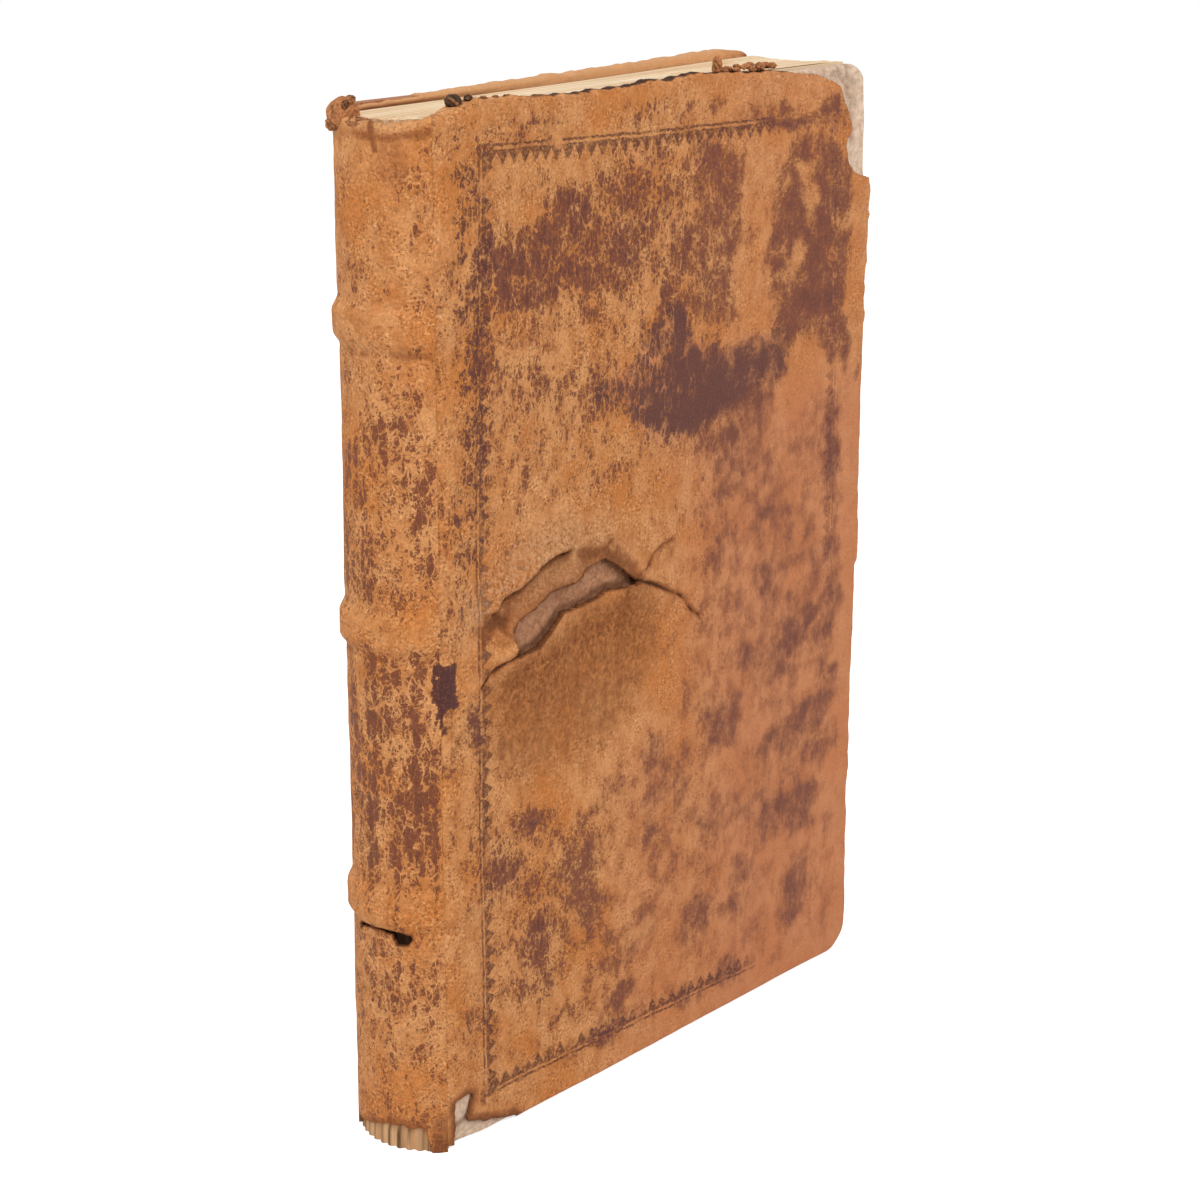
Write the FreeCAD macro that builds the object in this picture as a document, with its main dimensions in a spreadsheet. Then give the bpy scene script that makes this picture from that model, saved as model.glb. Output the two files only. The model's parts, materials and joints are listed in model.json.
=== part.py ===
import FreeCAD, Part
import math
import os
from types import SimpleNamespace

import Sketcher

# Worn octavo book bound in calf over pasteboard, sewn on three raised bands.
#
# Frame: +X runs from the joint line to the fore-edge, the front cover faces -Y,
# +Z is up. The origin lies on the joint line, midway between the covers, at the tail.
# Each cover is drawn flat, with its outer face at depth 0, and then leans out from
# the joint by the flare angle. Lengths are millimetres and angles degrees.

SIZES = [
    ("book_height", 205.0, "covers, tail edge to head edge"),
    ("cover_width", 135.0, "joint line to the fore-edge of a cover"),
    ("joint_thickness", 25.5, "outer face to outer face at the joints"),
    ("flare_angle", 1.5, "lean of each cover away from the leaves"),
    ("spine_round", 6.5, "how far the spine bulges behind the joint line"),
    ("cover_leather", 0.9, "leather on the covers"),
    ("spine_skin", 1.1, "leather on the spine"),
    ("board_thickness", 3.0, "pasteboard"),
    ("board_setback", 0.6, "joint line to the spine edge of a board"),
    ("head_corner_radius", 4.0, "fore-edge corner of a cover at the head"),
    ("tail_corner_radius", 7.0, "fore-edge corner of a cover at the tail"),
    ("turn_in_width", 13.0, "leather folded over onto the inside of a board"),
    ("turn_in_thickness", 0.6, "the same leather, pared thin"),
    ("pastedown_thickness", 0.25, "paper lining inside a cover"),
    ("pastedown_margin", 4.0, "bare turn-in left around the paper lining"),
    ("joint_gap", 0.3, "clearance between spine and cover at the joint line"),
    ("page_clearance", 0.3, "clearance between the leaves and a closed cover"),
    ("fore_square", 2.5, "how far a cover overhangs the leaves at the fore-edge"),
    ("fore_hollow", 3.0, "hollow of the fore-edge"),
    ("front_hollow", 1.6, "hollow of the front leaf under the front cover"),
    ("head_drop_spine", 2.4, "leaves below the covers' head, at the joint line"),
    ("head_drop_fore", 0.5, "leaves below the covers' head, at the fore-edge"),
    ("section_count", 12.0, "sewn gatherings, seen as folds on the spine"),
    ("fold_width", 0.9, "width of the furrow between two folds"),
    ("fold_depth", 0.6, "depth of that furrow"),
    ("rim_drop", 2.8, "torn head of the spine leather below the covers' head"),
    ("band_height", 1.1, "raised band above the spine"),
    ("band_width", 9.0, "leather swelling over a band, along the spine"),
    ("lower_band", 51.2, "tail to the middle of the lower band"),
    ("middle_band", 106.7, "tail to the middle of the middle band"),
    ("upper_band", 164.8, "tail to the middle of the upper band"),
    ("support_width", 6.0, "sewing support under a band, along the spine"),
    ("support_depth", 1.4, "how far a support sinks into the folds"),
    ("support_half_angle", 48.0, "sewing support, from the spine's middle to its end"),
    ("slip_width", 5.0, "flattened end of a support, laced into a board"),
    ("slip_thickness", 0.8, "the same slip, through its thickness"),
    ("slip_run", 7.0, "slip on the outside of the board, up to its hole"),
    ("slip_hole", 2.0, "length of the lacing hole along the slip"),
    ("slip_tail", 9.0, "slip on the inside of the board, past its hole"),
    ("slip_swelling", 0.6, "leather raised over a slip on the outside of the board"),
    ("remnant_reach", 4.2, "half length of the rolled scrap of headcap"),
    ("remnant_radius", 2.3, "half thickness of that scrap"),
    ("remnant_offset", 4.6, "middle of the spine to the middle of that scrap"),
]

# Edges of torn and worn leather, as the hand-chosen corners of their outlines.
# Tear in the front leather, measured from the joint line and the tail.
TEAR = [
    (9.4, 94.2), (18.7, 98.0), (25.5, 98.6), (28.7, 100.7), (32.9, 104.2), (38.1, 104.4),
    (46.2, 105.8), (55.5, 105.9), (50.5, 109.9), (45.7, 112.6), (40.0, 111.1), (37.6, 109.4),
    (29.7, 109.2), (24.2, 106.7), (17.9, 103.2), (18.2, 99.2),
]
# Lost leather at the tail of the front joint, measured from the joint line and the tail.
TAIL_LOSS = [(-1.0, -1.0), (20.0, -1.0), (19.5, 0.3), (4.2, 5.2), (6.1, 10.4), (3.7, 10.8), (-1.0, 10.0)]
# Lost leather at the head of the fore-edge, measured inwards from the fore-edge and the head.
HEAD_LOSS = [
    (-1.0, -1.0), (34.0, -1.0), (23.5, 1.4), (15.0, 3.0), (9.3, 4.9), (7.6, 8.3), (6.0, 12.0),
    (6.5, 17.5), (5.5, 21.0), (1.5, 25.5), (-1.0, 26.5),
]
# Worn tail of the spine leather, measured from the spine's middle and the tail.
TAIL_WEAR = [
    (-9.2, -1.0), (-9.0, 2.8), (-8.3, 5.4), (-6.2, 5.1), (-3.8, 6.0), (1.9, 4.4), (6.2, 3.4),
    (9.3, 2.5), (9.6, -1.0),
]
# Split below the lower band, measured from the spine's middle and the middle of the band.
SPINE_SPLIT = [
    (4.9, -5.1), (4.3, -6.0), (3.9, -4.9), (-1.3, -4.6), (-3.2, -4.9), (-4.6, -7.2), (-6.7, -6.8),
    (-7.0, -5.1), (-4.4, -4.3), (-1.3, -4.0), (4.2, -4.4),
]
PAST = 5.0  # how far a cutting outline runs past the solid that it cuts
ARC_INSET = 1 - math.sqrt(0.5)  # a quarter arc's middle lies this share of its radius inside the corner

doc = FreeCAD.newDocument("antique_book")
sheet = doc.addObject("Spreadsheet::Sheet", "sizes")


class Dim:
    """A length: its value now, and the sheet expression that drives it."""

    def __init__(self, value, text):
        self.value = value
        self.text = text

    def __add__(self, other):
        other = dim(other)
        return Dim(self.value + other.value, f"({self.text} + {other.text})")

    def __sub__(self, other):
        other = dim(other)
        return Dim(self.value - other.value, f"({self.text} - {other.text})")

    def __mul__(self, other):
        other = dim(other)
        return Dim(self.value * other.value, f"({self.text} * {other.text})")

    def __truediv__(self, other):
        other = dim(other)
        return Dim(self.value / other.value, f"({self.text} / {other.text})")

    def __neg__(self):
        return Dim(-self.value, f"(0 - {self.text})")


def dim(number):
    """A bare number as a Dim."""
    if isinstance(number, Dim):
        return number
    return Dim(float(number), f"({number:.4f})")


def root(square):
    return Dim(math.sqrt(square.value), f"sqrt({square.text})")


def tangent(angle):
    return Dim(math.tan(math.radians(angle.value)), f"tan({angle.text} * 1deg)")


def arc_sine(ratio):
    return Dim(math.degrees(math.asin(ratio.value)), f"(asin({ratio.text}) / 1deg)")


def fill_sheet():
    """Writes every driving size to the sheet and returns them as Dims, by name."""
    for row, (alias, value, note) in enumerate(SIZES, start=1):
        sheet.set(f"A{row}", alias.replace("_", " "))
        sheet.set(f"B{row}", str(value))
        sheet.setAlias(f"B{row}", alias)
        sheet.set(f"C{row}", note)
    doc.recompute()
    return SimpleNamespace(**{a: Dim(float(sheet.get(a)), f"sizes.{a}") for a, _, _ in SIZES})


size = fill_sheet()

# Places that several pieces share.
half_joint = size.joint_thickness / 2
half_gap = size.joint_gap / 2
cover_depth = size.cover_leather + size.board_thickness
lined_depth = cover_depth + size.pastedown_thickness
board_fore = size.cover_width - size.cover_leather
board_head = size.book_height - size.cover_leather
turn_in_fore = board_fore - size.turn_in_width
turn_in_tail = size.cover_leather + size.turn_in_width
turn_in_head = board_head - size.turn_in_width
spine_radius = (half_joint * half_joint + size.spine_round * size.spine_round) / (size.spine_round * 2)
spine_centre = spine_radius - size.spine_round
rim_height = size.book_height - size.rim_drop
band_rise = size.spine_round + size.band_height
band_radius = (half_joint * half_joint + band_rise * band_rise) / (band_rise * 2)
band_centre = band_radius - band_rise
BANDS = {"lower": size.lower_band, "middle": size.middle_band, "upper": size.upper_band}


def bind(thing, path, length):
    thing.setExpression(path, dim(length).text)


def new_body(label):
    body = doc.addObject("PartDesign::Body", label)
    body.Label = label
    return body


def origin_plane(body, role):
    return next(f for f in body.Origin.OriginFeatures if f.Role == role)


def fix_point(sketch, place, x, y):
    """Holds one sketch point at (x, y) from the sketch's origin."""
    for kind, length in (("DistanceX", dim(x)), ("DistanceY", dim(y))):
        index = sketch.addConstraint(Sketcher.Constraint(kind, -1, 1, *place, length.value))
        bind(sketch, f"Constraints[{index}]", length)


def flat(x, y):
    return FreeCAD.Vector(dim(x).value, dim(y).value, 0)


def draw_side(sketch, here, there):
    """One side of a loop, from the corner here to the corner there.

    A corner is (x, y), or (x, y, via_x, via_y) where the side that leaves it is an arc
    through the via point. Returns the side's start and end as sketch places.
    """
    start, end = flat(*here[:2]), flat(*there[:2])
    if len(here) == 2:
        side = sketch.addGeometry(Part.LineSegment(start, end), False)
        return (side, 1), (side, 2)
    via = flat(*here[2:])
    side = sketch.addGeometry(Part.Arc(start, via, end), False)
    through = sketch.addGeometry(Part.Point(via), True)
    fix_point(sketch, (through, 1), *here[2:])
    sketch.addConstraint(Sketcher.Constraint("PointOnObject", through, 1, side))
    anticlockwise = (via - start).cross(end - via).z > 0
    return ((side, 1), (side, 2)) if anticlockwise else ((side, 2), (side, 1))


def draw(body, role, name, loops, shift=(0, 0, 0)):
    """A sketch of closed loops on one of the body's origin planes, moved by shift."""
    sketch = body.newObject("Sketcher::SketchObject", name)
    sketch.AttachmentSupport = (origin_plane(body, role), "")
    sketch.MapMode = "FlatFace"
    for axis, length in zip("xyz", shift):
        bind(sketch, f"AttachmentOffset.Base.{axis}", length)
    for loop in loops:
        sides = [draw_side(sketch, here, there) for here, there in zip(loop, loop[1:] + loop[:1])]
        for corner, (start, _), (_, before) in zip(loop, sides, sides[-1:] + sides[:-1]):
            sketch.addConstraint(Sketcher.Constraint("Coincident", *before, *start))
            fix_point(sketch, start, *corner[:2])
    return sketch


def feature(body, kind, name, sketch, length, reverse=False):
    """A pad, or a pocket, of one sketch."""
    made = body.newObject(f"PartDesign::{kind}", name)
    made.Profile = sketch
    made.Reversed = reverse
    bind(made, "Length", length)
    return made


def pad(body, name, sketch, length, reverse=False):
    return feature(body, "Pad", name, sketch, length, reverse)


def pocket(body, name, sketch, length, reverse=False):
    return feature(body, "Pocket", name, sketch, length, reverse)


def turn(body, kind, name, sketch, angle):
    """A revolution or a groove about the sketch's own upright axis, half to each side."""
    made = body.newObject(f"PartDesign::{kind}", name)
    made.Profile = sketch
    made.ReferenceAxis = (sketch, ["V_Axis"])
    made.Midplane = True
    bind(made, "Angle", angle)
    return made


def lump(body, name, centre, radii):
    """An ellipsoid added to a body, its centre and its radii given along X, Y and Z."""
    made = body.newObject("PartDesign::AdditiveEllipsoid", name)
    made.AttachmentSupport = (origin_plane(body, "XY_Plane"), "")
    made.MapMode = "FlatFace"
    for axis, length in zip("xyz", centre):
        bind(made, f"AttachmentOffset.Base.{axis}", length)
    for radius, length in zip(("Radius2", "Radius3", "Radius1"), radii):
        bind(made, radius, length)
    return made


def rectangle(x_low, x_high, y_low, y_high):
    return [(x_low, y_low), (x_high, y_low), (x_high, y_high), (x_low, y_high)]


class Cover:
    """Draws the pieces of one cover flat, depth running from its outer face inwards."""

    def __init__(self, side):
        self.side = side
        self.front = side == "front"

    def body(self, name):
        """An empty body, placed at the joint line and leaning out by the flare angle."""
        body = new_body(f"{self.side}_{name}")
        axis = FreeCAD.Vector(0, 0, -1 if self.front else 1)
        body.Placement = FreeCAD.Placement(FreeCAD.Vector(), FreeCAD.Rotation(axis, size.flare_angle.value))
        bind(body, "Placement.Rotation.Angle", size.flare_angle)
        bind(body, "Placement.Base.y", -half_joint if self.front else half_joint)
        return body

    def sketch(self, body, name, loops, depth):
        """A sketch at a depth. The origin plane's normal points towards the front."""
        return draw(body, "XZ_Plane", name, loops, (0, 0, -depth if self.front else depth))

    def add(self, body, name, loops, depth, length):
        return pad(body, name, self.sketch(body, f"{name}_outline", loops, depth), length, self.front)

    def cut(self, body, name, loops, depth, length):
        sketch = self.sketch(body, f"{name}_outline", loops, depth)
        return pocket(body, name, sketch, length, not self.front)


def cover_outline(inset, spine_end):
    """A cover's outline drawn in by inset, its fore-edge corners rounded."""
    fore, tail, head = size.cover_width - inset, dim(inset), size.book_height - inset
    low, high = size.tail_corner_radius - inset, size.head_corner_radius - inset
    return [
        (spine_end, tail),
        (fore - low, tail, fore - low * ARC_INSET, tail + low * ARC_INSET),
        (fore, tail + low),
        (fore, head - high, fore - high * ARC_INSET, head - high * ARC_INSET),
        (fore - high, head),
        (spine_end, head),
    ]


def board_outline():
    return cover_outline(size.cover_leather, size.board_setback)


def turn_in_band(spine_end):
    """The strip along tail, fore-edge and head that the turned-in leather covers."""
    return [
        (spine_end, -dim(PAST)),
        (size.cover_width + PAST, -dim(PAST)),
        (size.cover_width + PAST, size.book_height + PAST),
        (spine_end, size.book_height + PAST),
        (spine_end, turn_in_head),
        (turn_in_fore, turn_in_head),
        (turn_in_fore, turn_in_tail),
        (spine_end, turn_in_tail),
    ]


def slip_strips(start, end):
    """One strip per band, from start to end across the board."""
    half = size.slip_width / 2
    return {band: rectangle(start, end, z - half, z + half) for band, z in BANDS.items()}


slip_hole_start = size.board_setback + size.slip_run
slip_hole_end = slip_hole_start + size.slip_hole
slip_end = slip_hole_end + size.slip_tail
slip_inner_depth = cover_depth - size.slip_thickness
turn_in_depth = cover_depth - size.turn_in_thickness


def make_board(cover):
    """Pasteboard, rebated for the turn-ins and channelled for the laced slips."""
    body = cover.body("board")
    cover.add(body, "pasteboard", [board_outline()], size.cover_leather, size.board_thickness)
    cover.cut(body, "rebate", [turn_in_band(-dim(PAST))], turn_in_depth, size.turn_in_thickness)
    outer = list(slip_strips(-dim(PAST), slip_hole_end).values())
    hole = list(slip_strips(slip_hole_start, slip_hole_end).values())
    inner = list(slip_strips(slip_hole_start, slip_end).values())
    cover.cut(body, "outer_channels", outer, size.cover_leather, size.slip_thickness)
    cover.cut(body, "lacing_holes", hole, size.cover_leather, size.board_thickness)
    cover.cut(body, "inner_channels", inner, slip_inner_depth, size.slip_thickness)
    return body


def make_slip(cover, band):
    """The flattened end of one sewing support, in and out of its board."""
    body = cover.body(f"{band}_slip")
    outer = slip_strips(half_gap, slip_hole_end)[band]
    hole = slip_strips(slip_hole_start, slip_hole_end)[band]
    inner = slip_strips(slip_hole_start, slip_end)[band]
    cover.add(body, "outer_run", [outer], size.cover_leather, size.slip_thickness)
    cover.add(body, "through", [hole], size.cover_leather, size.board_thickness)
    cover.add(body, "inner_run", [inner], slip_inner_depth, size.slip_thickness)
    return body


def make_leather(cover):
    """Leather over the outside of a board, round its edges and onto its inside."""
    body = cover.body("leather")
    cover.add(body, "blank", [cover_outline(dim(0), half_gap)], dim(0), cover_depth)
    reach = slip_hole_end / 2
    sunk = size.cover_leather / 2
    for band, z in BANDS.items():
        centre = (half_gap + reach, sunk if cover.front else -sunk, z)
        lump(body, f"{band}_swelling", centre, (reach, sunk + size.slip_swelling, size.band_width / 2))
    spine_side = rectangle(-dim(PAST), size.board_setback, -dim(PAST), size.book_height + PAST)
    cover.cut(body, "spine_side", [spine_side], size.cover_leather, size.board_thickness)
    space = size.board_thickness - size.turn_in_thickness
    cover.cut(body, "board_space", [board_outline()], size.cover_leather, space)
    opening = rectangle(-dim(PAST), turn_in_fore, turn_in_tail, turn_in_head)
    cover.cut(body, "opening", [opening], turn_in_depth, size.turn_in_thickness)
    if cover.front:
        wear_front_leather(cover, body)
    return body


def wear_front_leather(cover, body):
    """The tear across the front, and the corners where the board lies bare."""
    cover.cut(body, "tear", [TEAR], dim(0), size.cover_leather)
    cover.cut(body, "tail_loss", [TAIL_LOSS], dim(0), turn_in_depth)
    head_loss = [(size.cover_width - x, size.book_height - z) for x, z in HEAD_LOSS]
    cover.cut(body, "head_loss", [head_loss], dim(0), turn_in_depth)


def make_pastedown(cover):
    """Paper lining over the inside of a board and its turn-ins."""
    body = cover.body("pastedown")
    margin = size.pastedown_margin
    fore, head = size.cover_width - margin, size.book_height - margin
    paper = rectangle(size.board_setback, fore, margin, head)
    cover.add(body, "paper", [paper], cover_depth, size.pastedown_thickness)
    return body


def spine_arc(radius, x_end):
    """Half the width of a circle about the spine's centre where it meets x = x_end."""
    reach = spine_centre - x_end
    return root(radius * radius - reach * reach)


def band_profile(body, name, band, skin, width, depth):
    """Lens on the line of a raised band: bulging out by the band height, in by depth."""
    top = band_radius - skin
    base = top - size.band_height
    half = width / 2
    lens = [(-base, band + half, -top, band), (-base, band - half)]
    if depth is not None:
        lens[1] = (-base, band - half, -(base - depth), band)
    return draw(body, "XZ_Plane", name, [lens], (band_centre, 0, 0))


def support_profile(body, name, band):
    return band_profile(body, name, band, size.spine_skin, size.support_width, size.support_depth)


def make_text_block():
    """All the leaves as one solid: rounded spine with shoulders, hollow fore-edge."""
    body = new_body("text_block")
    front_joint = half_joint - lined_depth - size.page_clearance
    fore = size.cover_width - size.fore_square
    half_fore = front_joint + fore * tangent(size.flare_angle)
    middle = fore / 2
    bow = (front_joint + half_fore) / 2 - size.front_hollow
    inner_radius = spine_radius - size.spine_skin
    shoulder = spine_arc(inner_radius, -half_gap)
    plan = [
        (-half_gap, -front_joint, middle, -bow),
        (fore, -half_fore, fore - size.fore_hollow, dim(0)),
        (fore, half_fore),
        (-half_gap, front_joint),
        (-half_gap, shoulder, spine_centre - inner_radius, dim(0)),
        (-half_gap, -shoulder),
    ]
    pad(body, "leaves", draw(body, "XY_Plane", "plan", [plan]), size.book_height)
    trim_head(body)
    furrow_spine(body, inner_radius)
    for band, z in BANDS.items():
        profile = support_profile(body, f"{band}_groove_profile", z)
        turn(body, "Groove", f"{band}_groove", profile, size.support_half_angle * 2)
    return body


def trim_head(body):
    """Slopes the head of the leaves, lower at the spine than at the fore-edge."""
    slope = (size.head_drop_spine - size.head_drop_fore) / size.cover_width
    low = size.book_height - size.head_drop_spine
    back = -(size.spine_round + PAST)
    front = size.cover_width + PAST
    above = [
        (back, low + slope * back),
        (front, low + slope * front),
        (front, size.book_height + PAST),
        (back, size.book_height + PAST),
    ]
    cut = pocket(body, "head_slope", draw(body, "XZ_Plane", "head_slope_outline", [above]), dim(PAST))
    cut.Type = 1
    cut.Midplane = True


def furrow_spine(body, radius):
    """Furrows between the folds of the gatherings, evenly spaced round the spine."""
    swing = arc_sine(half_joint / spine_radius) * (size.section_count - 2) / size.section_count
    furrow = [
        (-(radius + size.fold_depth), size.fold_width),
        (-(radius - size.fold_depth), dim(0)),
        (-(radius + size.fold_depth), -size.fold_width),
    ]
    outline = draw(body, "XY_Plane", "furrow_outline", [furrow], (spine_centre, 0, 0))
    bind(outline, "AttachmentOffset.Rotation.Angle", swing)
    cut = pocket(body, "furrow", outline, size.book_height, True)
    pattern = body.newObject("PartDesign::PolarPattern", "furrows")
    pattern.Originals = [cut]
    pattern.Axis = (outline, ["N_Axis"])
    pattern.Reversed = True
    bind(pattern, "Occurrences", size.section_count - 1)
    bind(pattern, "Angle", swing * 2)
    body.Tip = pattern


def make_support(band, z):
    """A sewing support, bent round the spine under its raised band."""
    body = new_body(f"{band}_sewing_support")
    profile = support_profile(body, "profile", z)
    turn(body, "Revolution", "support", profile, size.support_half_angle * 2)
    return body


def make_spine_leather():
    """Leather round the spine, swelling over the bands, torn at head and tail."""
    body = new_body("spine_leather")
    outer = spine_arc(spine_radius, -half_gap)
    plan = [(-half_gap, outer, -size.spine_round, dim(0)), (-half_gap, -outer)]
    pad(body, "skin", draw(body, "XY_Plane", "plan", [plan]), rim_height)
    for band, z in BANDS.items():
        swelling = band_profile(body, f"{band}_swelling_profile", z, dim(0), size.band_width, None)
        turn(body, "Revolution", f"{band}_swelling", swelling, size.support_half_angle * 2)
    inner_radius = spine_radius - size.spine_skin
    inner = spine_arc(inner_radius, dim(0))
    hollow = [
        (dim(0), inner, spine_centre - inner_radius, dim(0)),
        (dim(0), -inner),
        (dim(PAST), -inner),
        (dim(PAST), inner),
    ]
    hollow_sketch = draw(body, "XY_Plane", "hollow_outline", [hollow])
    pocket(body, "hollow", hollow_sketch, rim_height, True)
    for band, z in BANDS.items():
        profile = support_profile(body, f"{band}_seat_profile", z)
        turn(body, "Groove", f"{band}_seat", profile, size.support_half_angle * 2)
    wear_spine_leather(body)
    return body


def wear_spine_leather(body):
    """The worn tail, the split under the lower band and the scrap of headcap."""
    reach = size.spine_round + PAST
    worn = draw(body, "YZ_Plane", "worn_tail_outline", [TAIL_WEAR])
    pocket(body, "worn_tail", worn, reach)
    split_points = [(y, size.lower_band + z) for y, z in SPINE_SPLIT]
    split = draw(body, "YZ_Plane", "split_outline", [split_points])
    pocket(body, "split", split, reach)
    seat_radius = spine_radius - size.spine_skin / 2
    across = root(seat_radius * seat_radius - size.remnant_offset * size.remnant_offset)
    centre = (spine_centre - across, size.remnant_offset, rim_height + size.remnant_radius / 2)
    radii = (size.remnant_radius, size.remnant_reach, size.remnant_radius)
    lump(body, "headcap_scrap", centre, radii)


def check_document():
    """Stops if any object of the document failed to rebuild."""
    for thing in doc.Objects:
        if "Invalid" in thing.State or "Error" in thing.State:
            raise RuntimeError(f"{thing.Label} failed to rebuild: {thing.State}")


def write_parts(bodies):
    """Checks each piece and writes it to its own file."""
    for body in bodies:
        if body.Shape.isNull() or not body.Shape.isValid():
            raise RuntimeError(f"{body.Label} has no valid shape")
    os.makedirs("parts", exist_ok=True)
    for body in bodies:
        body.Shape.exportStep(f"parts/{body.Label}.step")
        print(f"{body.Label}: {len(body.Shape.Solids)} solid, {body.Shape.Volume:.1f} mm3")


bodies = [make_text_block(), make_spine_leather()]
for band, height in BANDS.items():
    bodies.append(make_support(band, height))
for side in ("front", "rear"):
    cover = Cover(side)
    bodies += [make_board(cover), make_leather(cover), make_pastedown(cover)]
    bodies += [make_slip(cover, band) for band in BANDS]
doc.recompute()
check_document()
write_parts(bodies)
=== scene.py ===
import json
import math

import bpy
import numpy as np
from mathutils import Matrix, Vector


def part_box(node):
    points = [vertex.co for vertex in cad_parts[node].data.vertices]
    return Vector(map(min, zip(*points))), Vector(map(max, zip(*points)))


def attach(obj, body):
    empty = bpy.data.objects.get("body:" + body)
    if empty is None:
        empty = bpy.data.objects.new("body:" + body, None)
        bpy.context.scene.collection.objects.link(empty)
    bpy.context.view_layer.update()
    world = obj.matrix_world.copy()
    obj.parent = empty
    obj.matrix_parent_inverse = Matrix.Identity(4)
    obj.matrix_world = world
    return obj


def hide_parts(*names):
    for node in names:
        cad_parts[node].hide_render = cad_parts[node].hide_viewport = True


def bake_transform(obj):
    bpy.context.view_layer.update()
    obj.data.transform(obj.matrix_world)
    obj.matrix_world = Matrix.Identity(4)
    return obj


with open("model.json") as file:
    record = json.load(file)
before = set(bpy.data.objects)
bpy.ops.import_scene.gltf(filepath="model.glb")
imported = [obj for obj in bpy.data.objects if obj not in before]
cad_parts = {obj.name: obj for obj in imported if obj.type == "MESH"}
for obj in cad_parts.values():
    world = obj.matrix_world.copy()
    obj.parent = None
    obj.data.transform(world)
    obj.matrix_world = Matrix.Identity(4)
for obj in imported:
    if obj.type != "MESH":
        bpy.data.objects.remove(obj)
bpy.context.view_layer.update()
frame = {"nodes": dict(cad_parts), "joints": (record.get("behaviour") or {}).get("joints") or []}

# Worn octavo book in tan calf over pasteboard, standing on its tail.
#
# Lengths are millimetres, and meshes are made in metres. A place on the skin is (s, z):
# s runs along the skin from a joint line, positive over the cover and negative over the
# spine, and z is the height. Depth runs inwards from the outer face.

MM = 0.001
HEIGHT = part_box("rear_leather")[1].z / MM
HALF_JOINT = abs(frame["joints"][0]["pos_m"][1]) / MM
SPINE_ROUND = 6.5
WIDTH = 135.0
LEAN = math.radians(1.5)
COVER_SKIN = 0.9
SPINE_SKIN = 1.1
COVER_DEPTH = 3.9
TURN_IN_DEPTH = 3.3
TURN_IN_WIDTH = 13.0
LINING = 0.25
PAGE_CLEARANCE = 0.3
TAIL_CORNER = 7.0
HEAD_CORNER = 4.0
BOARD_SETBACK = 0.6
BANDS = (51.2, 106.7, 164.8)
BAND_HALF_WIDTH = 4.5
BAND_RISE = 1.1
SLIP_RISE = 0.6
SLIP_REACH = 9.75

BLOCK_HALF = HALF_JOINT - COVER_DEPTH - LINING - PAGE_CLEARANCE
LEAF_FORE = WIDTH - 2.5
LEAF_HEAD = HEIGHT - 2.4
LEAF_HEAD_SLOPE = (2.4 - 0.5) / WIDTH

SPINE_RADIUS = (HALF_JOINT ** 2 + SPINE_ROUND ** 2) / (2 * SPINE_ROUND)
SPINE_CENTRE = SPINE_RADIUS - SPINE_ROUND
JOINT_ANGLE = math.asin(HALF_JOINT / SPINE_RADIUS)
HALF_ARC = JOINT_ANGLE * SPINE_RADIUS
SEAM = 1.3  # the cover skins reach this far over the joint line, to the spine skin

# Torn places on the front cover, as listed corners (s, z).
TEAR = [
    (17.8, 98.0), (25.5, 98.6), (28.7, 100.7), (32.9, 104.2), (38.1, 104.4), (42.8, 104.8), (46.2, 105.8),
    (52.5, 105.2), (57.0, 105.6), (54.5, 106.8), (50.5, 109.9), (45.7, 112.6), (42.8, 112.1), (40.0, 111.1),
    (37.6, 109.4), (29.7, 109.2), (24.2, 106.7), (19.7, 105.3), (17.9, 103.2), (19.6, 99.9),
]
TAIL_LOSS = [
    (0.5, -6.0), (20.0, -6.0), (19.5, 0.3), (10.0, 3.0), (4.2, 5.2), (6.1, 10.4), (3.7, 10.8),
    (0.5, 10.2),
]
HEAD_LOSS = [
    (142.0, 212.0), (101.0, 212.0), (100.7, 204.6), (111.5, 203.6), (119.9, 202.0), (125.7, 200.1),
    (127.2, 196.7), (128.8, 194.6), (130.4, 190.5), (128.0, 187.5), (129.2, 183.2), (131.8, 180.6),
    (142.0, 178.6),
]
UNDER_LAYER = [
    (12.5, 107.6), (15.1, 110.5), (19.2, 111.2), (23.3, 112.7), (26.9, 114.8), (31.4, 115.9),
    (34.6, 115.2), (36.4, 113.0), (41.0, 112.2), (45.7, 113.6), (50.9, 110.9), (50.5, 109.9),
    (45.7, 112.6), (40.0, 111.1), (37.6, 109.4), (29.7, 109.2), (24.2, 106.7), (17.9, 103.2),
    (14.5, 104.5),
]
SUEDE = [
    (13, 95.5), (13.2, 79), (28, 72), (51, 75), (63, 87), (62, 99), (54, 104), (38, 102.5), (28, 99),
    (18, 96.5),
]
MIDDLE_LINE = [(16, 101), (30, 104.8), (45, 108), (58, 106)]  # along the tear
CRACKS = [  # half width, depth, corners
    (0.42, 0.62, [(18.8, 98.2), (13.5, 97.2), (11.5, 96.1), (9.4, 94.2)]),
    (0.44, 0.62, [(56.0, 105.8), (61.3, 103.8), (66.2, 101.6), (71.3, 99.0), (73.4, 96.2), (77.2, 93.6)]),
    (0.32, 0.40, [(56.0, 106.3), (59.6, 107.5), (61.9, 110.2), (64.5, 111.4), (68.4, 111.9)]),
    (0.60, 1.10, [(13.0, 108.4), (15.1, 110.5), (19.2, 111.2), (23.3, 112.7), (26.9, 114.8),
        (31.4, 115.9), (35.9, 115.7)]),
    (0.30, 0.35, [(42.7, 113.0), (44.4, 114.2), (46.1, 114.7), (48.3, 115.7)]),
    (0.30, 0.35, [(52.2, 105.2), (52.4, 104.0), (52.2, 102.4)]),
]
FLAP_EDGE = CRACKS[1][2]  # the skin below it is lifted
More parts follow.
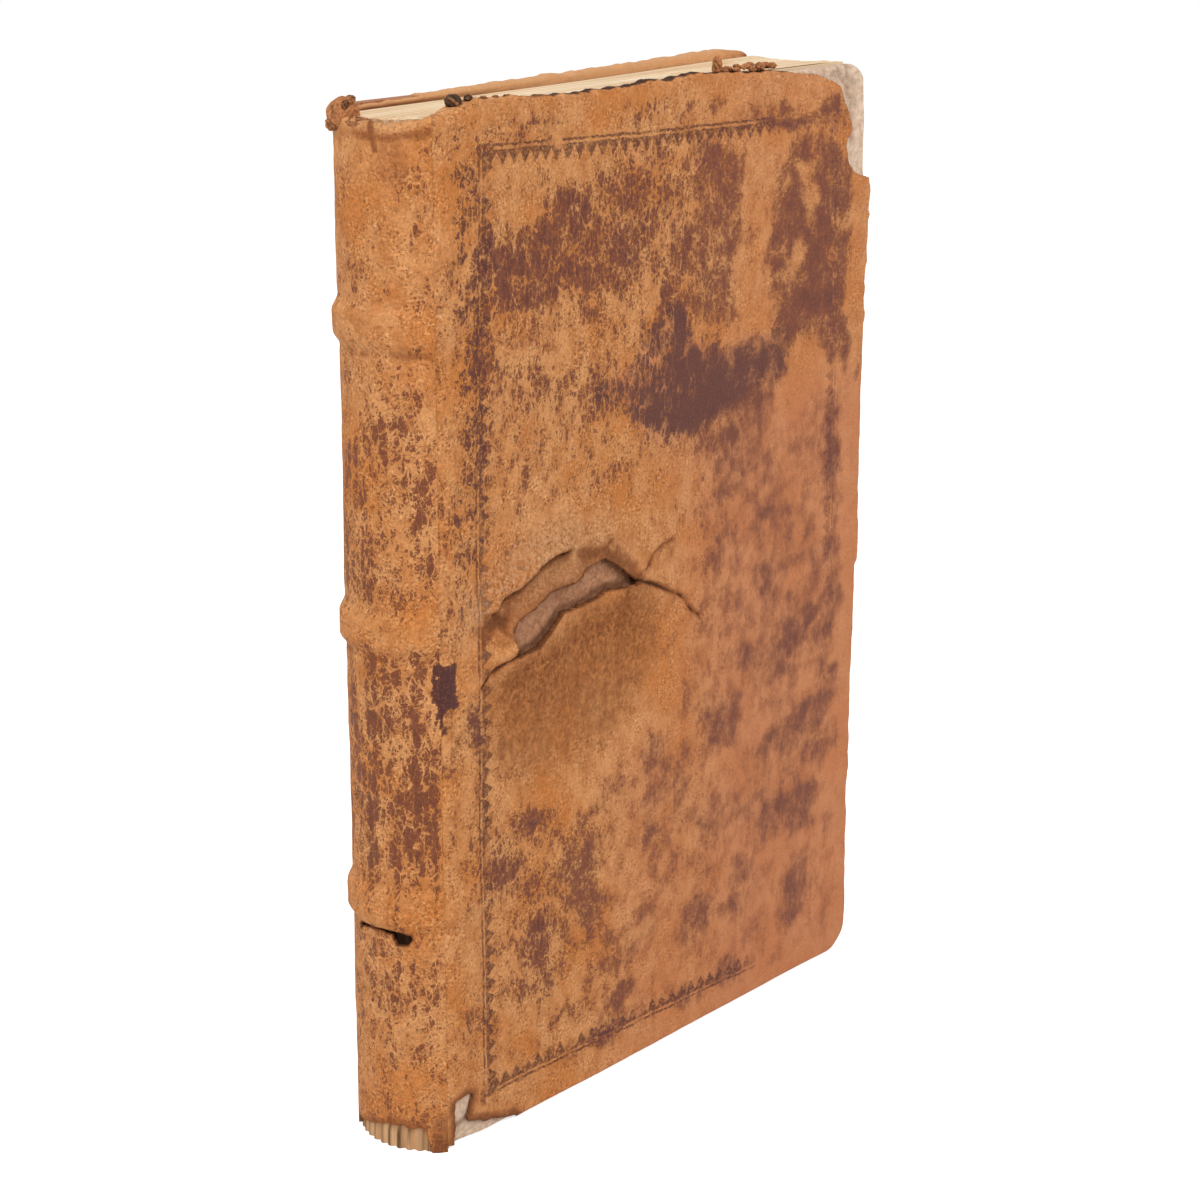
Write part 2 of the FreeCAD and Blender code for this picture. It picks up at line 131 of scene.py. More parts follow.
UPPER_LIP = CRACKS[3][2]  # the skin above it is lifted over the layer beneath
# The covers' edges: (place along the edge, how far it stands out of the plain outline).
HEAD_EDGE = [
    (-2, -2.2), (2, -1.6), (9, 0.3), (18, 0.3), (33, -0.5), (45, -0.5), (60, 0.1), (77, 0.8), (90, 0.1),
    (107, -0.7), (121, -0.3), (131, -0.4), (136, -1.0),
]
FORE_EDGE = [
    (0, 0.6), (8, 0.6), (40, 0.3), (43, 0.6), (44.5, 1.3), (47, 0.7), (90, 0.9), (92.5, 1.1), (93.5, 2.0),
    (110, 1.7), (130, 1.9), (148, 2.0), (149.2, 2.8), (150.5, 2.1), (154.2, 2.2), (154.9, 2.9),
    (156, 2.2), (161, 2.4), (161.6, 3.2), (162.4, 2.4), (170.4, 2.7), (171.4, 3.3), (172.4, 2.8),
    (176.4, 3.2), (178.9, 2.8), (180.8, 1.8), (195, 1.8), (205, 1.8),
]
TAIL_EDGE = [(-2, 1.0), (0.5, 0.9), (3, 0.0), (140, 0)]
BOARD_FORE = [(p, o - (0.75 if p < 180 else 0.2)) for p, o in FORE_EDGE]
BOARD_HEAD = [(p, o - (1.3 if p < 98 else 0.4)) for p, o in HEAD_EDGE]
BOARD_TAIL = [(-2, 0.9), (2, 0.2), (20, 0.3), (30, 0.9), (140, 0.9)]
PLAIN_HEAD = [
    (-2, -1.8), (4, -1.3), (10, -1.1), (30, -0.6), (60, 0.1), (100, 0.8), (114, 1.4), (124, 1.3),
    (136, -0.4),
]
PLAIN_FORE = [(0, -0.4), (60, 0.0), (140, 0.4), (190, 0.0), (205, -1.4)]
PLAIN_TAIL = [(-2, 0), (140, 0)]


# Noise

def smooth(value):
    value = np.clip(value, 0.0, 1.0)
    return value * value * (3 - 2 * value)


def rise(value, low, high):
    """0 below low, 1 above high and smooth between; high may be the lower one."""
    return smooth((value - low) / (high - low))


def bell(distance, width):
    """1 at distance 0 and smoothly down to nothing past the width."""
    return np.exp(-((distance / width) ** 2))


def value_noise(x, y, seed):
    """Smooth random values from -1 to 1, one cell to a unit."""
    count = 256
    table = np.random.default_rng(seed).uniform(-1, 1, (count, count))
    ix, iy = np.floor(x).astype(int), np.floor(y).astype(int)
    fx, fy = smooth(x - ix), smooth(y - iy)
    x0, x1, y0, y1 = ix % count, (ix + 1) % count, iy % count, (iy + 1) % count
    low = table[x0, y0] * (1 - fx) + table[x1, y0] * fx
    high = table[x0, y1] * (1 - fx) + table[x1, y1] * fx
    return low * (1 - fy) + high * fy


def clouds(x, y, cell, seed, octaves=4, gain=0.5):
    """Layered noise whose widest cell is the given size; x and y are arrays of millimetres."""
    total, share = 0.0, 1.0
    for octave in range(octaves):
        scale = 2 ** octave / cell
        layer = value_noise(x * scale + 17.3 * octave, y * scale + 5.1 * octave, seed + octave)
        total = total + share * layer
        share *= gain
    return total


# Distances in the plane of the skin

def segment_distance(x, y, start, end):
    (ax, ay), (bx, by) = start, end
    dx, dy = bx - ax, by - ay
    along = np.clip(((x - ax) * dx + (y - ay) * dy) / (dx * dx + dy * dy), 0, 1)
    return np.hypot(x - ax - along * dx, y - ay - along * dy)


def line_distance(x, y, corners):
    """Distance to an open line of corners."""
    return np.min([segment_distance(x, y, a, b) for a, b in zip(corners, corners[1:])], axis=0)


def patch_distance(x, y, corners):
    """Distance to a closed outline, negative inside it."""
    loop = corners + corners[:1]
    inside = np.zeros(np.shape(x), bool)
    for (ax, ay), (bx, by) in zip(loop, loop[1:]):
        if ay != by:
            crossing = (bx - ax) * (y - ay) / (by - ay) + ax
            inside ^= ((ay > y) != (by > y)) & (x < crossing)
    distance = line_distance(x, y, loop)
    return np.where(inside, -distance, distance)


def profile(places, value):
    """Reads a given outline of (place, offset) corners."""
    return np.interp(value, [p for p, _ in places], [o for _, o in places])


# The skin wrapped round the book

def bare_wrap(s):
    """Point and outward normal of the outer face in plan, on the side where y is positive."""
    angle = JOINT_ANGLE + np.minimum(s, 0) / SPINE_RADIUS
    over = np.maximum(s, 0)
    x = SPINE_CENTRE - SPINE_RADIUS * np.cos(angle) + over * math.cos(LEAN)
    y = SPINE_RADIUS * np.sin(angle) + over * math.sin(LEAN)
    on_cover = s > 0
    nx = np.where(on_cover, -math.sin(LEAN), -np.cos(angle))
    ny = np.where(on_cover, math.cos(LEAN), np.sin(angle))
    return x, y, nx, ny


ROUNDING = [(offset, math.exp(-((offset / 1.5) ** 2) / 2)) for offset in np.linspace(-3.6, 3.6, 13)]


def wrap(s, depth, z, side):
    """Places skin coordinates in the frame. side is -1 for the front cover and 1 for the rear."""
    total = sum(weight for _, weight in ROUNDING)
    sums = [0.0] * 4
    for offset, weight in ROUNDING:
        for i, part in enumerate(bare_wrap(s + offset)):
            sums[i] = sums[i] + part * weight / total
    x, y, nx, ny = sums
    length = np.hypot(nx, ny)
    return np.stack([x - nx / length * depth, side * (y - ny / length * depth), z], -1)


# Meshes

def grid_quads(numbers):
    """Quads over a grid of point numbers."""
    quads = np.stack([numbers[:-1, :-1], numbers[1:, :-1], numbers[1:, 1:], numbers[:-1, 1:]], -1)
    return quads.reshape(-1, 4)


class Sheet:
    """Points of one piece in skin coordinates, its faces and its values at the points."""

    def __init__(self):
        self.s = np.zeros(0)
        self.z = np.zeros(0)
        self.depth = np.zeros(0)
        self.flesh = np.zeros(0)
        self.map_s = np.zeros(0)
        self.map_z = np.zeros(0)
        self.faces = np.zeros((0, 4), int)

    def add_points(self, s, z, depth, flesh=0.0, map_s=None, map_z=None):
        first = len(self.s)
        s, z, depth = np.broadcast_arrays(s, z, depth)
        shape = s.shape
        self.s = np.append(self.s, s)
        self.z = np.append(self.z, z)
        self.depth = np.append(self.depth, depth)
        self.flesh = np.append(self.flesh, np.broadcast_to(flesh, shape))
        self.map_s = np.append(self.map_s, s if map_s is None else map_s)
        self.map_z = np.append(self.map_z, z if map_z is None else map_z)
        return first + np.arange(s.size).reshape(shape)

    def add_faces(self, numbers):
        self.faces = np.concatenate([self.faces, grid_quads(numbers)])

    def edge_keys(self):
        """Edges that only one face uses, as pairs of point numbers in face order."""
        pairs = np.concatenate([self.faces[:, [i, (i + 1) % 4]] for i in range(4)])
        keys = np.sort(pairs, 1)
        _, index, counts = np.unique(keys, axis=0, return_index=True, return_counts=True)
        return pairs[index[counts == 1]]

    def cut(self, corners, deepest, thickness, seed, ragged=0.25):
        """Takes away the skin inside an outline, and gives the new edge the skin's thickness.

        Points deeper than deepest stay where no shallower skin is cut away.
        """
        wobble = ragged * clouds(self.s, self.z, 1.6, seed, 3)
        away = patch_distance(self.s, self.z, corners) + wobble
        away = np.where(self.depth > deepest, 0.01, away)
        before = {tuple(sorted(pair)) for pair in self.edge_keys()}
        self.faces = self.faces[away[self.faces].mean(1) > 0]
        edges = np.array([pair for pair in self.edge_keys() if tuple(sorted(pair)) not in before])
        rim = np.unique(edges)
        step = 0.15
        here = patch_distance(self.s[rim], self.z[rim], corners)
        gs = patch_distance(self.s[rim] + step, self.z[rim], corners) - here
        gz = patch_distance(self.s[rim], self.z[rim] + step, corners) - here
        length = np.maximum(np.hypot(gs, gz), 1e-6)
        gs, gz = gs / length, gz / length
        shift = np.clip(here + wobble[rim], -0.9, 0.9)
        self.s[rim] -= gs * shift
        self.z[rim] -= gz * shift
        rows = [(0.35, 0.12), (0.75, 0.05), (1.0, -0.35)]
        previous = dict(zip(rim, rim))
        fray = 0.18 * clouds(self.s[rim], self.z[rim], 0.9, seed + 7, 2)
        base = self.depth[rim].copy()
        lowest = np.maximum(base, COVER_DEPTH - 0.05)
        for share, inward in rows:
            numbers = self.add_points(
                self.s[rim] - gs * (inward + fray), self.z[rim] - gz * (inward + fray),
                np.minimum(base + thickness * share, lowest), 1.0, self.map_s[rim], self.map_z[rim])
            new_number = dict(zip(rim, numbers))
            quads = [(b, a, new_number[p], new_number[q]) for (p, q) in edges
                     for a, b in [(previous[p], previous[q])]]
            self.faces = np.concatenate([self.faces, np.array(quads)])
            previous = new_number

    def tidy(self):
        """Drops the points that no face uses."""
        used = np.unique(self.faces)
        number = np.full(len(self.s), -1)
        number[used] = np.arange(len(used))
        self.faces = number[self.faces]
        for name in ("s", "z", "depth", "flesh", "map_s", "map_z"):
            setattr(self, name, getattr(self, name)[used])


def make_object(name, points, faces, material, values=None, skin=None):
    """A smooth-shaded mesh from points in millimetres, with values at its points."""
    mesh = bpy.data.meshes.new(name)
    mesh.from_pydata((np.asarray(points) * MM).tolist(), [], [tuple(face) for face in faces])
    mesh.validate()
    mesh.polygons.foreach_set("use_smooth", [True] * len(mesh.polygons))
    if skin is not None:
        layer = mesh.uv_layers.new(name="skin")
        loops = np.zeros(len(mesh.loops), int)
        mesh.loops.foreach_get("vertex_index", loops)
        layer.data.foreach_set("uv", np.asarray(skin)[loops].astype(np.float32).ravel())
    for key, value in (values or {}).items():
        attribute = mesh.attributes.new(key, "FLOAT", "POINT")
        attribute.data.foreach_set("value", np.asarray(value, np.float32))
    mesh.materials.append(material)
    thing = bpy.data.objects.new(name, mesh)
    bpy.context.scene.collection.objects.link(thing)
    return thing


# Materials

class Shader:
    """The node tree of one material. Calls return output sockets."""

    def __init__(self, name):
        self.material = bpy.data.materials.new(name)
        self.material.use_nodes = True
        self.tree = self.material.node_tree
        self.tree.nodes.clear()

    def add(self, kind, inputs=None, **settings):
        node = self.tree.nodes.new(kind)
        for key, value in settings.items():
            setattr(node, key, value)
        for key, value in (inputs or {}).items():
            if isinstance(value, bpy.types.NodeSocket):
                self.tree.links.new(value, node.inputs[key])
            else:
                node.inputs[key].default_value = value
        return node

    def math(self, operation, *values, clamp=False):
        node = self.add("ShaderNodeMath", dict(enumerate(values)), operation=operation, use_clamp=clamp)
        return node.outputs[0]

    def total(self, *values):
        result = values[0]
        for value in values[1:]:
            result = self.math("ADD", result, value)
        return result

    def times(self, a, b):
        return self.math("MULTIPLY", a, b)

    def attribute(self, name):
        return self.add("ShaderNodeAttribute", attribute_name=name).outputs["Fac"]

    def skin(self):
        return self.add("ShaderNodeUVMap", uv_map="skin").outputs[0]

    def place(self):
        """The point's own place on the object, in millimetres."""
        own = self.add("ShaderNodeTexCoord").outputs["Object"]
        return self.stretch(own, 1 / MM, 1 / MM, 1 / MM)

    def stretch(self, vector, x, y, z=1.0):
        node = self.add("ShaderNodeVectorMath", {0: vector, 1: (x, y, z)}, operation="MULTIPLY")
        return node.outputs[0]

    def shift(self, vector, amount, scale, strength):
        """Bends coordinates by noise, so that patterns lose their straight lines."""
        noise = self.add("ShaderNodeTexNoise", {"Vector": vector, "Scale": scale, "Detail": amount})
        centred = self.add("ShaderNodeVectorMath", {0: noise.outputs["Color"], 1: (0.5, 0.5, 0.5)},
                           operation="SUBTRACT").outputs[0]
        moved = self.add("ShaderNodeVectorMath", {0: centred, 1: (strength, strength, strength)},
                         operation="MULTIPLY").outputs[0]
        return self.add("ShaderNodeVectorMath", {0: vector, 1: moved}, operation="ADD").outputs[0]

    def parts(self, vector):
        return self.add("ShaderNodeSeparateXYZ", {0: vector}).outputs

    def noise(self, vector, scale, detail=3.0, roughness=0.55):
        sockets = {"Vector": vector, "Scale": scale, "Detail": detail, "Roughness": roughness}
        return self.add("ShaderNodeTexNoise", sockets).outputs["Fac"]

    def cells(self, vector, scale):
        """Distance to the nearest border between cells."""
        sockets = {"Vector": vector, "Scale": scale}
        return self.add("ShaderNodeTexVoronoi", sockets, feature="DISTANCE_TO_EDGE").outputs["Distance"]

    def cell_tone(self, vector, scale):
        """One random value to each cell."""
        node = self.add("ShaderNodeTexVoronoi", {"Vector": vector, "Scale": scale}, feature="F1")
        return self.parts(node.outputs["Color"])[0]

    def rise(self, value, low, high, bottom=0.0, top=1.0):
        sockets = {"Value": value, "From Min": low, "From Max": high, "To Min": bottom, "To Max": top}
        return self.add("ShaderNodeMapRange", sockets, interpolation_type="SMOOTHSTEP").outputs[0]

    def ramp(self, value, stops):
        """A colour from a value; stops are (place, sRGB colour)."""
        node = self.add("ShaderNodeValToRGB", {0: value})
        elements = node.color_ramp.elements
        while len(elements) < len(stops):
            elements.new(0.5)
        for element, (place, colour) in zip(elements, stops):
            element.position = place
            element.color = linear(colour)
        return node.outputs[0]

    def mix(self, factor, a, b):
        """Mixes two colours, each a socket or an sRGB colour; factor is a socket."""
        node = self.add("ShaderNodeMix", data_type="RGBA", blend_type="MIX")
        for index, value in ((0, factor), (6, a), (7, b)):
            if isinstance(value, bpy.types.NodeSocket):
                self.tree.links.new(value, node.inputs[index])
            else:
                node.inputs[index].default_value = linear(value)
        return node.outputs[2]

    def finish(self, colour, roughness, height, distance, **constants):
        """Principled surface with a bump whose height is in millimetres."""
        bump = self.add("ShaderNodeBump", {"Height": height, "Distance": distance * MM, "Strength": 1.0})
        inputs = {"Base Color": colour, "Roughness": roughness, "Normal": bump.outputs[0], **constants}
        surface = self.add("ShaderNodeBsdfPrincipled", inputs)
        output = self.add("ShaderNodeOutputMaterial")
        self.tree.links.new(surface.outputs[0], output.inputs[0])
        return self.material


def linear(colour):
    """A colour of sRGB steps, 0 to 255, as linear light with alpha."""
    parts = [value / 255 for value in colour]
    return tuple(p / 12.92 if p <= 0.04045 else ((p + 0.055) / 1.055) ** 2.4 for p in parts) + (1.0,)


PALE_TAN = (226, 170, 116)
LIGHT_TAN = (212, 148, 94)
TAN = (190, 122, 70)
ORANGE_TAN = (194, 116, 54)
PORE = (120, 66, 36)
GLAZE_THIN = (148, 86, 56)
GLAZE = (118, 64, 46)
GLAZE_THICK = (94, 52, 42)
PLUM = (76, 44, 43)
TOOLING = (90, 50, 44)
DEEP_DIRT_AND_SHADE = (48, 26, 13)
SOIL_AND_SHADE = (140, 80, 44)

BORDER = 9.0        # tooled border, from the edges of a cover to its outer line
TOOTH = 2.5         # height of one tooth of the border
TOOTH_PITCH = 3.4


def border_marks(shader, skin):
    """Tooled border of a cover: a double line, and teeth that point inwards."""
    bent = shader.shift(shader.shift(skin, 2.0, 0.05, 0.8), 3.0, 0.7, 0.9)
    s, z = shader.parts(bent)[0], shader.parts(bent)[1]
    run_s = (BORDER, WIDTH - BORDER)
    run_z = (BORDER - 1.0, HEIGHT - BORDER)
    sides = [
        (shader.math("SUBTRACT", s, run_s[0]), z, run_z),
        (shader.math("SUBTRACT", run_s[1], s), z, run_z),
        (shader.math("SUBTRACT", z, run_z[0]), s, run_s),
        (shader.math("SUBTRACT", run_z[1], z), s, run_s),
    ]
    marks = None
    for across, along, (low, high) in sides:
        starts = shader.math("GREATER_THAN", along, low - 0.5)
        within = shader.times(starts, shader.math("LESS_THAN", along, high + 0.5))
        wave = shader.math("PINGPONG", along, TOOTH_PITCH / 2)
        reach = shader.math("MULTIPLY_ADD", wave, 2 * TOOTH / TOOTH_PITCH, 1.5)
        over = shader.math("SUBTRACT", reach, across)
        tooth = shader.times(shader.rise(across, 1.0, 1.3), shader.rise(over, 0.0, 0.5))
        line = shader.rise(shader.math("ABSOLUTE", across), 0.38, 0.10)
        second = shader.rise(shader.math("ABSOLUTE", shader.math("SUBTRACT", across, 1.0)), 0.34, 0.10)
        side_marks = shader.math("MAXIMUM", tooth, shader.math("MAXIMUM", line, second))
        side_marks = shader.times(side_marks, within)
        marks = side_marks if marks is None else shader.math("MAXIMUM", marks, side_marks)
    return marks


def calf():
    """Tan calf whose dark glaze is worn off in flecks. The values at the points say how much is left."""
    sh = Shader("worn_calf")
    skin = sh.skin()
    dark, crackle, soft = sh.attribute("dark"), sh.attribute("crackle"), sh.attribute("soft")
    suede, stain, bloom = sh.attribute("suede"), sh.attribute("stain"), sh.attribute("bloom")
    dirt, flesh, tooled = sh.attribute("dirt"), sh.attribute("flesh"), sh.attribute("tooled")
    sharp = sh.math("MULTIPLY_ADD", soft, -0.75, 1.0)

    warped = sh.shift(skin, 3.0, 0.8, 0.8)
    net = sh.stretch(warped, 1.0, 0.42)
    wide_edges, wide_tone = sh.cells(net, 0.56), sh.cell_tone(net, 0.56)
    fine_net = sh.stretch(warped, 1.0, 0.65)
    fine_edges, fine_tone = sh.cells(fine_net, 1.25), sh.cell_tone(fine_net, 1.25)
    grain = sh.noise(skin, 1.05, 5.0, 0.74)
    middle = sh.noise(sh.stretch(skin, 1.0, 0.7), 0.28, 4.0, 0.62)
    wide = sh.noise(skin, 0.05, 3.0)
    pores = sh.noise(sh.shift(skin, 2.0, 0.9, 0.5), 1.7, 3.0, 0.68)
    busy = sh.rise(sh.noise(skin, 0.17, 3.0, 0.6), 0.40, 0.60, 0.25, 1.0)
    pitted = sh.times(sharp, busy)

    presence = sh.rise(sh.noise(skin, 0.13, 3.0), 0.28, 0.46)
    worn_mark = sh.rise(grain, 0.38, 0.56)
    marks = sh.times(sh.times(border_marks(sh, skin), tooled), sh.times(presence, worn_mark))

    fine_crack = sh.times(sh.rise(fine_edges, 0.17, 0.03), 0.7)
    crack = sh.math("MAXIMUM", sh.rise(wide_edges, 0.13, 0.03), fine_crack)
    crack = sh.times(crack, crackle)
    tones = sh.total(sh.times(wide_tone, 0.5), sh.times(fine_tone, 0.5))
    left = sh.total(
        dark,
        sh.times(sh.times(sh.math("SUBTRACT", grain, 0.5), sharp), 1.9),
        sh.times(sh.math("SUBTRACT", middle, 0.5), 1.0),
        sh.times(sh.math("SUBTRACT", tones, 0.5), sh.times(crackle, 0.44)),
        sh.times(crack, -0.34),
    )
    half_width = sh.math("MULTIPLY_ADD", soft, 0.18, 0.13)
    cover = sh.rise(left, sh.math("SUBTRACT", 0.5, half_width), sh.math("ADD", 0.5, half_width))
    cover = sh.times(cover, sh.math("SUBTRACT", 1.0, sh.math("MAXIMUM", suede, flesh)))

    tan = sh.mix(sh.rise(middle, 0.36, 0.66), LIGHT_TAN, TAN)
    tan = sh.mix(sh.times(sh.rise(wide, 0.42, 0.66), 0.8), tan, ORANGE_TAN)
    tan = sh.mix(sh.times(soft, 0.6), tan, (196, 126, 92))
    tan = sh.mix(sh.times(sh.rise(pores, 0.47, 0.36), sh.times(pitted, 0.8)), tan, PALE_TAN)
    tan = sh.mix(sh.times(sh.rise(pores, 0.53, 0.66), sh.times(pitted, 0.85)), tan, PORE)
    glaze = sh.ramp(left, [(0.44, GLAZE_THIN), (0.78, GLAZE), (1.0, GLAZE_THICK)])
    glaze = sh.mix(sh.rise(crackle, 1.0, 1.5, 0.0, 0.4), glaze, (138, 80, 50))
    glaze = sh.mix(sh.times(stain, 0.85), glaze, PLUM)
    glaze = sh.mix(sh.times(sh.rise(pores, 0.50, 0.70), 0.40), glaze, (160, 98, 66))
    glaze = sh.mix(sh.times(soft, 0.45), glaze, (126, 76, 58))
    colour = sh.mix(cover, tan, glaze)
    colour = sh.mix(sh.times(marks, 0.85), colour, TOOLING)
    rubbed = sh.times(sh.attribute("rubbed"), sh.rise(grain, 0.30, 0.62, 1.0, 0.5))
    colour = sh.mix(rubbed, colour, (226, 174, 124))
    chalk = sh.times(bloom, sh.rise(grain, 0.44, 0.56))
    colour = sh.mix(sh.times(chalk, 0.42), colour, (204, 164, 130))
    nap = sh.noise(sh.stretch(sh.shift(skin, 2.0, 0.2, 2.0), 1.0, 0.75), 0.9, 5.0, 0.78)
    suede_colour = sh.mix(sh.rise(nap, 0.34, 0.66), (112, 62, 30), (186, 118, 66))
    suede_colour = sh.mix(sh.times(sh.rise(middle, 0.42, 0.66), 0.5), suede_colour, (118, 66, 34))
    colour = sh.mix(suede, colour, suede_colour)
    flesh_colour = sh.mix(sh.rise(pores, 0.38, 0.62), (128, 76, 42), (206, 142, 94))
    colour = sh.mix(flesh, colour, flesh_colour)
    # Darker brown where the points say so: soiling, and painted shade in the cracks, the tear, the sunk head
    # edge, under the raised bands and by the leaves.
    colour = sh.mix(sh.times(sh.rise(dirt, 0.0, 0.6), 0.8), colour, SOIL_AND_SHADE)
    colour = sh.mix(sh.times(sh.rise(dirt, 0.45, 1.0), 0.95), colour, DEEP_DIRT_AND_SHADE)
    uneven_tone = sh.math("MULTIPLY_ADD", sh.times(sh.math("SUBTRACT", grain, 0.5), sharp), 1.3, 1.0)
    colour = sh.add("ShaderNodeHueSaturation", {"Value": uneven_tone, "Color": colour}).outputs[0]

    shine = sh.rise(cover, 0.0, 1.0, 0.80, 0.56)
    height = sh.total(
        sh.times(grain, 0.34),
        sh.times(pores, 0.16),
        sh.times(cover, 0.10),
        sh.times(crack, -0.10),
        sh.times(marks, -0.20),
        sh.times(middle, 0.30),
        sh.times(sh.times(sh.math("MAXIMUM", flesh, bloom), pores), 0.5),
    )
    return sh.finish(colour, shine, height, 1.0, **{"Specular IOR Level": 0.14})


def pasteboard():
    """Bare board: grey-pink layered pulp with creases and fibres."""
    sh = Shader("pasteboard")
    place = sh.place()
    fibres = sh.noise(sh.shift(place, 3.0, 0.5, 1.6), 0.9, 6.0, 0.7)
    wide = sh.noise(place, 0.14, 3.0)
    specks = sh.noise(place, 3.2, 2.0)
    layers = sh.noise(sh.stretch(place, 0.05, 2.2, 0.05), 1.4, 2.0)
    pale = sh.attribute("pale")
    colour = sh.mix(sh.rise(fibres, 0.32, 0.66), (156, 102, 70), (196, 142, 106))
    light = sh.mix(sh.rise(fibres, 0.32, 0.66), (206, 172, 146), (238, 212, 186))
    colour = sh.mix(pale, colour, light)
    colour = sh.mix(sh.times(sh.rise(wide, 0.45, 0.7), 0.35), colour, (176, 130, 98))
    colour = sh.mix(sh.times(sh.rise(specks, 0.63, 0.72), 0.5), colour, (222, 204, 186))
    # Darker brown where the points say so: painted shade in the creases and folds and along the edge of the
    # tear.
    colour = sh.mix(sh.times(sh.attribute("dirt"), 0.85), colour, (100, 60, 36))
    height = sh.total(sh.times(fibres, 0.45), sh.times(layers, 0.12), sh.times(specks, 0.06))
    return sh.finish(colour, 0.9, height, 1.0, **{"Specular IOR Level": 0.2})


def leaves():
    """Edges and faces of old rag leaves. The value leaf is the place in the stack, in millimetres."""
    sh = Shader("leaves")
    leaf, dust_and_shade = sh.attribute("leaf"), sh.attribute("dust_and_shade")
    place = sh.place()
    line = sh.add("ShaderNodeCombineXYZ", {0: leaf, 1: 0.0, 2: 0.0}).outputs[0]
    along = sh.stretch(place, 0.004, 0.0, 0.004)
    stack = sh.add("ShaderNodeVectorMath", {0: line, 1: along}, operation="ADD").outputs[0]
    thin = sh.noise(stack, 6.5, 2.0, 0.7)
    groups = sh.noise(stack, 1.3, 2.0, 0.6)
    blotch = sh.noise(place, 0.09, 4.0, 0.6)
    fibre = sh.noise(place, 2.4, 4.0, 0.6)
    colour = sh.mix(sh.rise(thin, 0.36, 0.62), (222, 182, 138), (252, 230, 196))
    colour = sh.mix(sh.times(sh.rise(groups, 0.55, 0.72), 0.55), colour, (204, 158, 108))
    colour = sh.mix(sh.times(sh.rise(blotch, 0.50, 0.72), 0.5), colour, (214, 166, 116))
    flat = sh.rise(sh.math("ABSOLUTE", leaf), BLOCK_HALF - 0.05, BLOCK_HALF - 0.01)
    faint = sh.times(sh.rise(blotch, 0.50, 0.75), 0.35)
    sheet_tone = sh.mix(faint, (238, 216, 178), (216, 182, 136))
    colour = sh.mix(flat, colour, sheet_tone)
    # Darker where the points say so: dust, and painted shade next to the front board and in the folds and
    # split at the spine.
    colour = sh.mix(sh.times(sh.rise(dust_and_shade, 0.0, 0.5), 0.8), colour, (184, 132, 84))
    colour = sh.mix(sh.rise(dust_and_shade, 0.45, 1.0), colour, (66, 42, 26))
    height = sh.total(sh.times(thin, 0.22), sh.times(groups, 0.25), sh.times(fibre, 0.03))
    return sh.finish(colour, 0.88, height, 1.0, **{"Specular IOR Level": 0.2})


def paper():
    """Laid lining paper with foxing."""
    sh = Shader("lining_paper")
    place = sh.place()
    rows = sh.math("SINE", sh.times(sh.parts(place)[2], 2 * math.pi / 1.1))
    fibre = sh.noise(place, 1.6, 5.0, 0.6)
    wide = sh.noise(place, 0.035, 4.0, 0.6)
    spots = sh.noise(place, 0.32, 2.0)
    colour = sh.mix(sh.rise(wide, 0.35, 0.7), (232, 214, 180), (212, 184, 140))
    colour = sh.mix(sh.times(sh.rise(spots, 0.66, 0.76), 0.5), colour, (168, 120, 74))
    colour = sh.mix(sh.times(sh.rise(fibre, 0.4, 0.7), 0.25), colour, (196, 166, 124))
    height = sh.total(sh.times(fibre, 0.08), sh.times(rows, 0.012))
    return sh.finish(colour, 0.9, height, 1.0, **{"Specular IOR Level": 0.2})


def hemp():
    """Twisted cord, frayed flat."""
    sh = Shader("hemp")
    place = sh.place()
    x, y, z = sh.parts(place)
    twist = sh.math("SINE", sh.times(sh.total(x, y, sh.times(z, 1.6)), 4.2))
    hair = sh.noise(sh.stretch(place, 0.6, 0.6, 3.0), 1.5, 5.0, 0.7)
    colour = sh.mix(sh.rise(hair, 0.3, 0.7), (150, 124, 84), (204, 182, 138))
    # Darker in the grooves of the twist: painted shade.
    colour = sh.mix(sh.rise(twist, 0.2, -0.9, 0.0, 0.5), colour, (104, 80, 50))
    height = sh.total(sh.times(twist, 0.15), sh.times(hair, 0.2))
    return sh.finish(colour, 0.92, height, 1.0, **{"Specular IOR Level": 0.2})


def crumb():
    """Dark dried remains of leather and glue."""
    sh = Shader("dried_remains")
    place = sh.place()
    rough = sh.noise(place, 1.6, 5.0, 0.7)
    # The shade value is each scrap's own darkness, plus painted shade in the dents of its surface.
    shade = sh.attribute("shade")
    light = sh.mix(sh.rise(rough, 0.3, 0.7), (144, 82, 44), (212, 142, 88))
    dark = sh.mix(sh.rise(rough, 0.35, 0.7), (38, 26, 16), (92, 62, 34))
    colour = sh.mix(shade, light, dark)
    return sh.finish(colour, 0.8, sh.times(rough, 0.4), 1.0, **{"Specular IOR Level": 0.3})


MATERIALS = {
    "calf": calf(), "pasteboard": pasteboard(), "leaves": leaves(),
    "lining_paper": paper(), "hemp": hemp(), "crumb": crumb(),
}


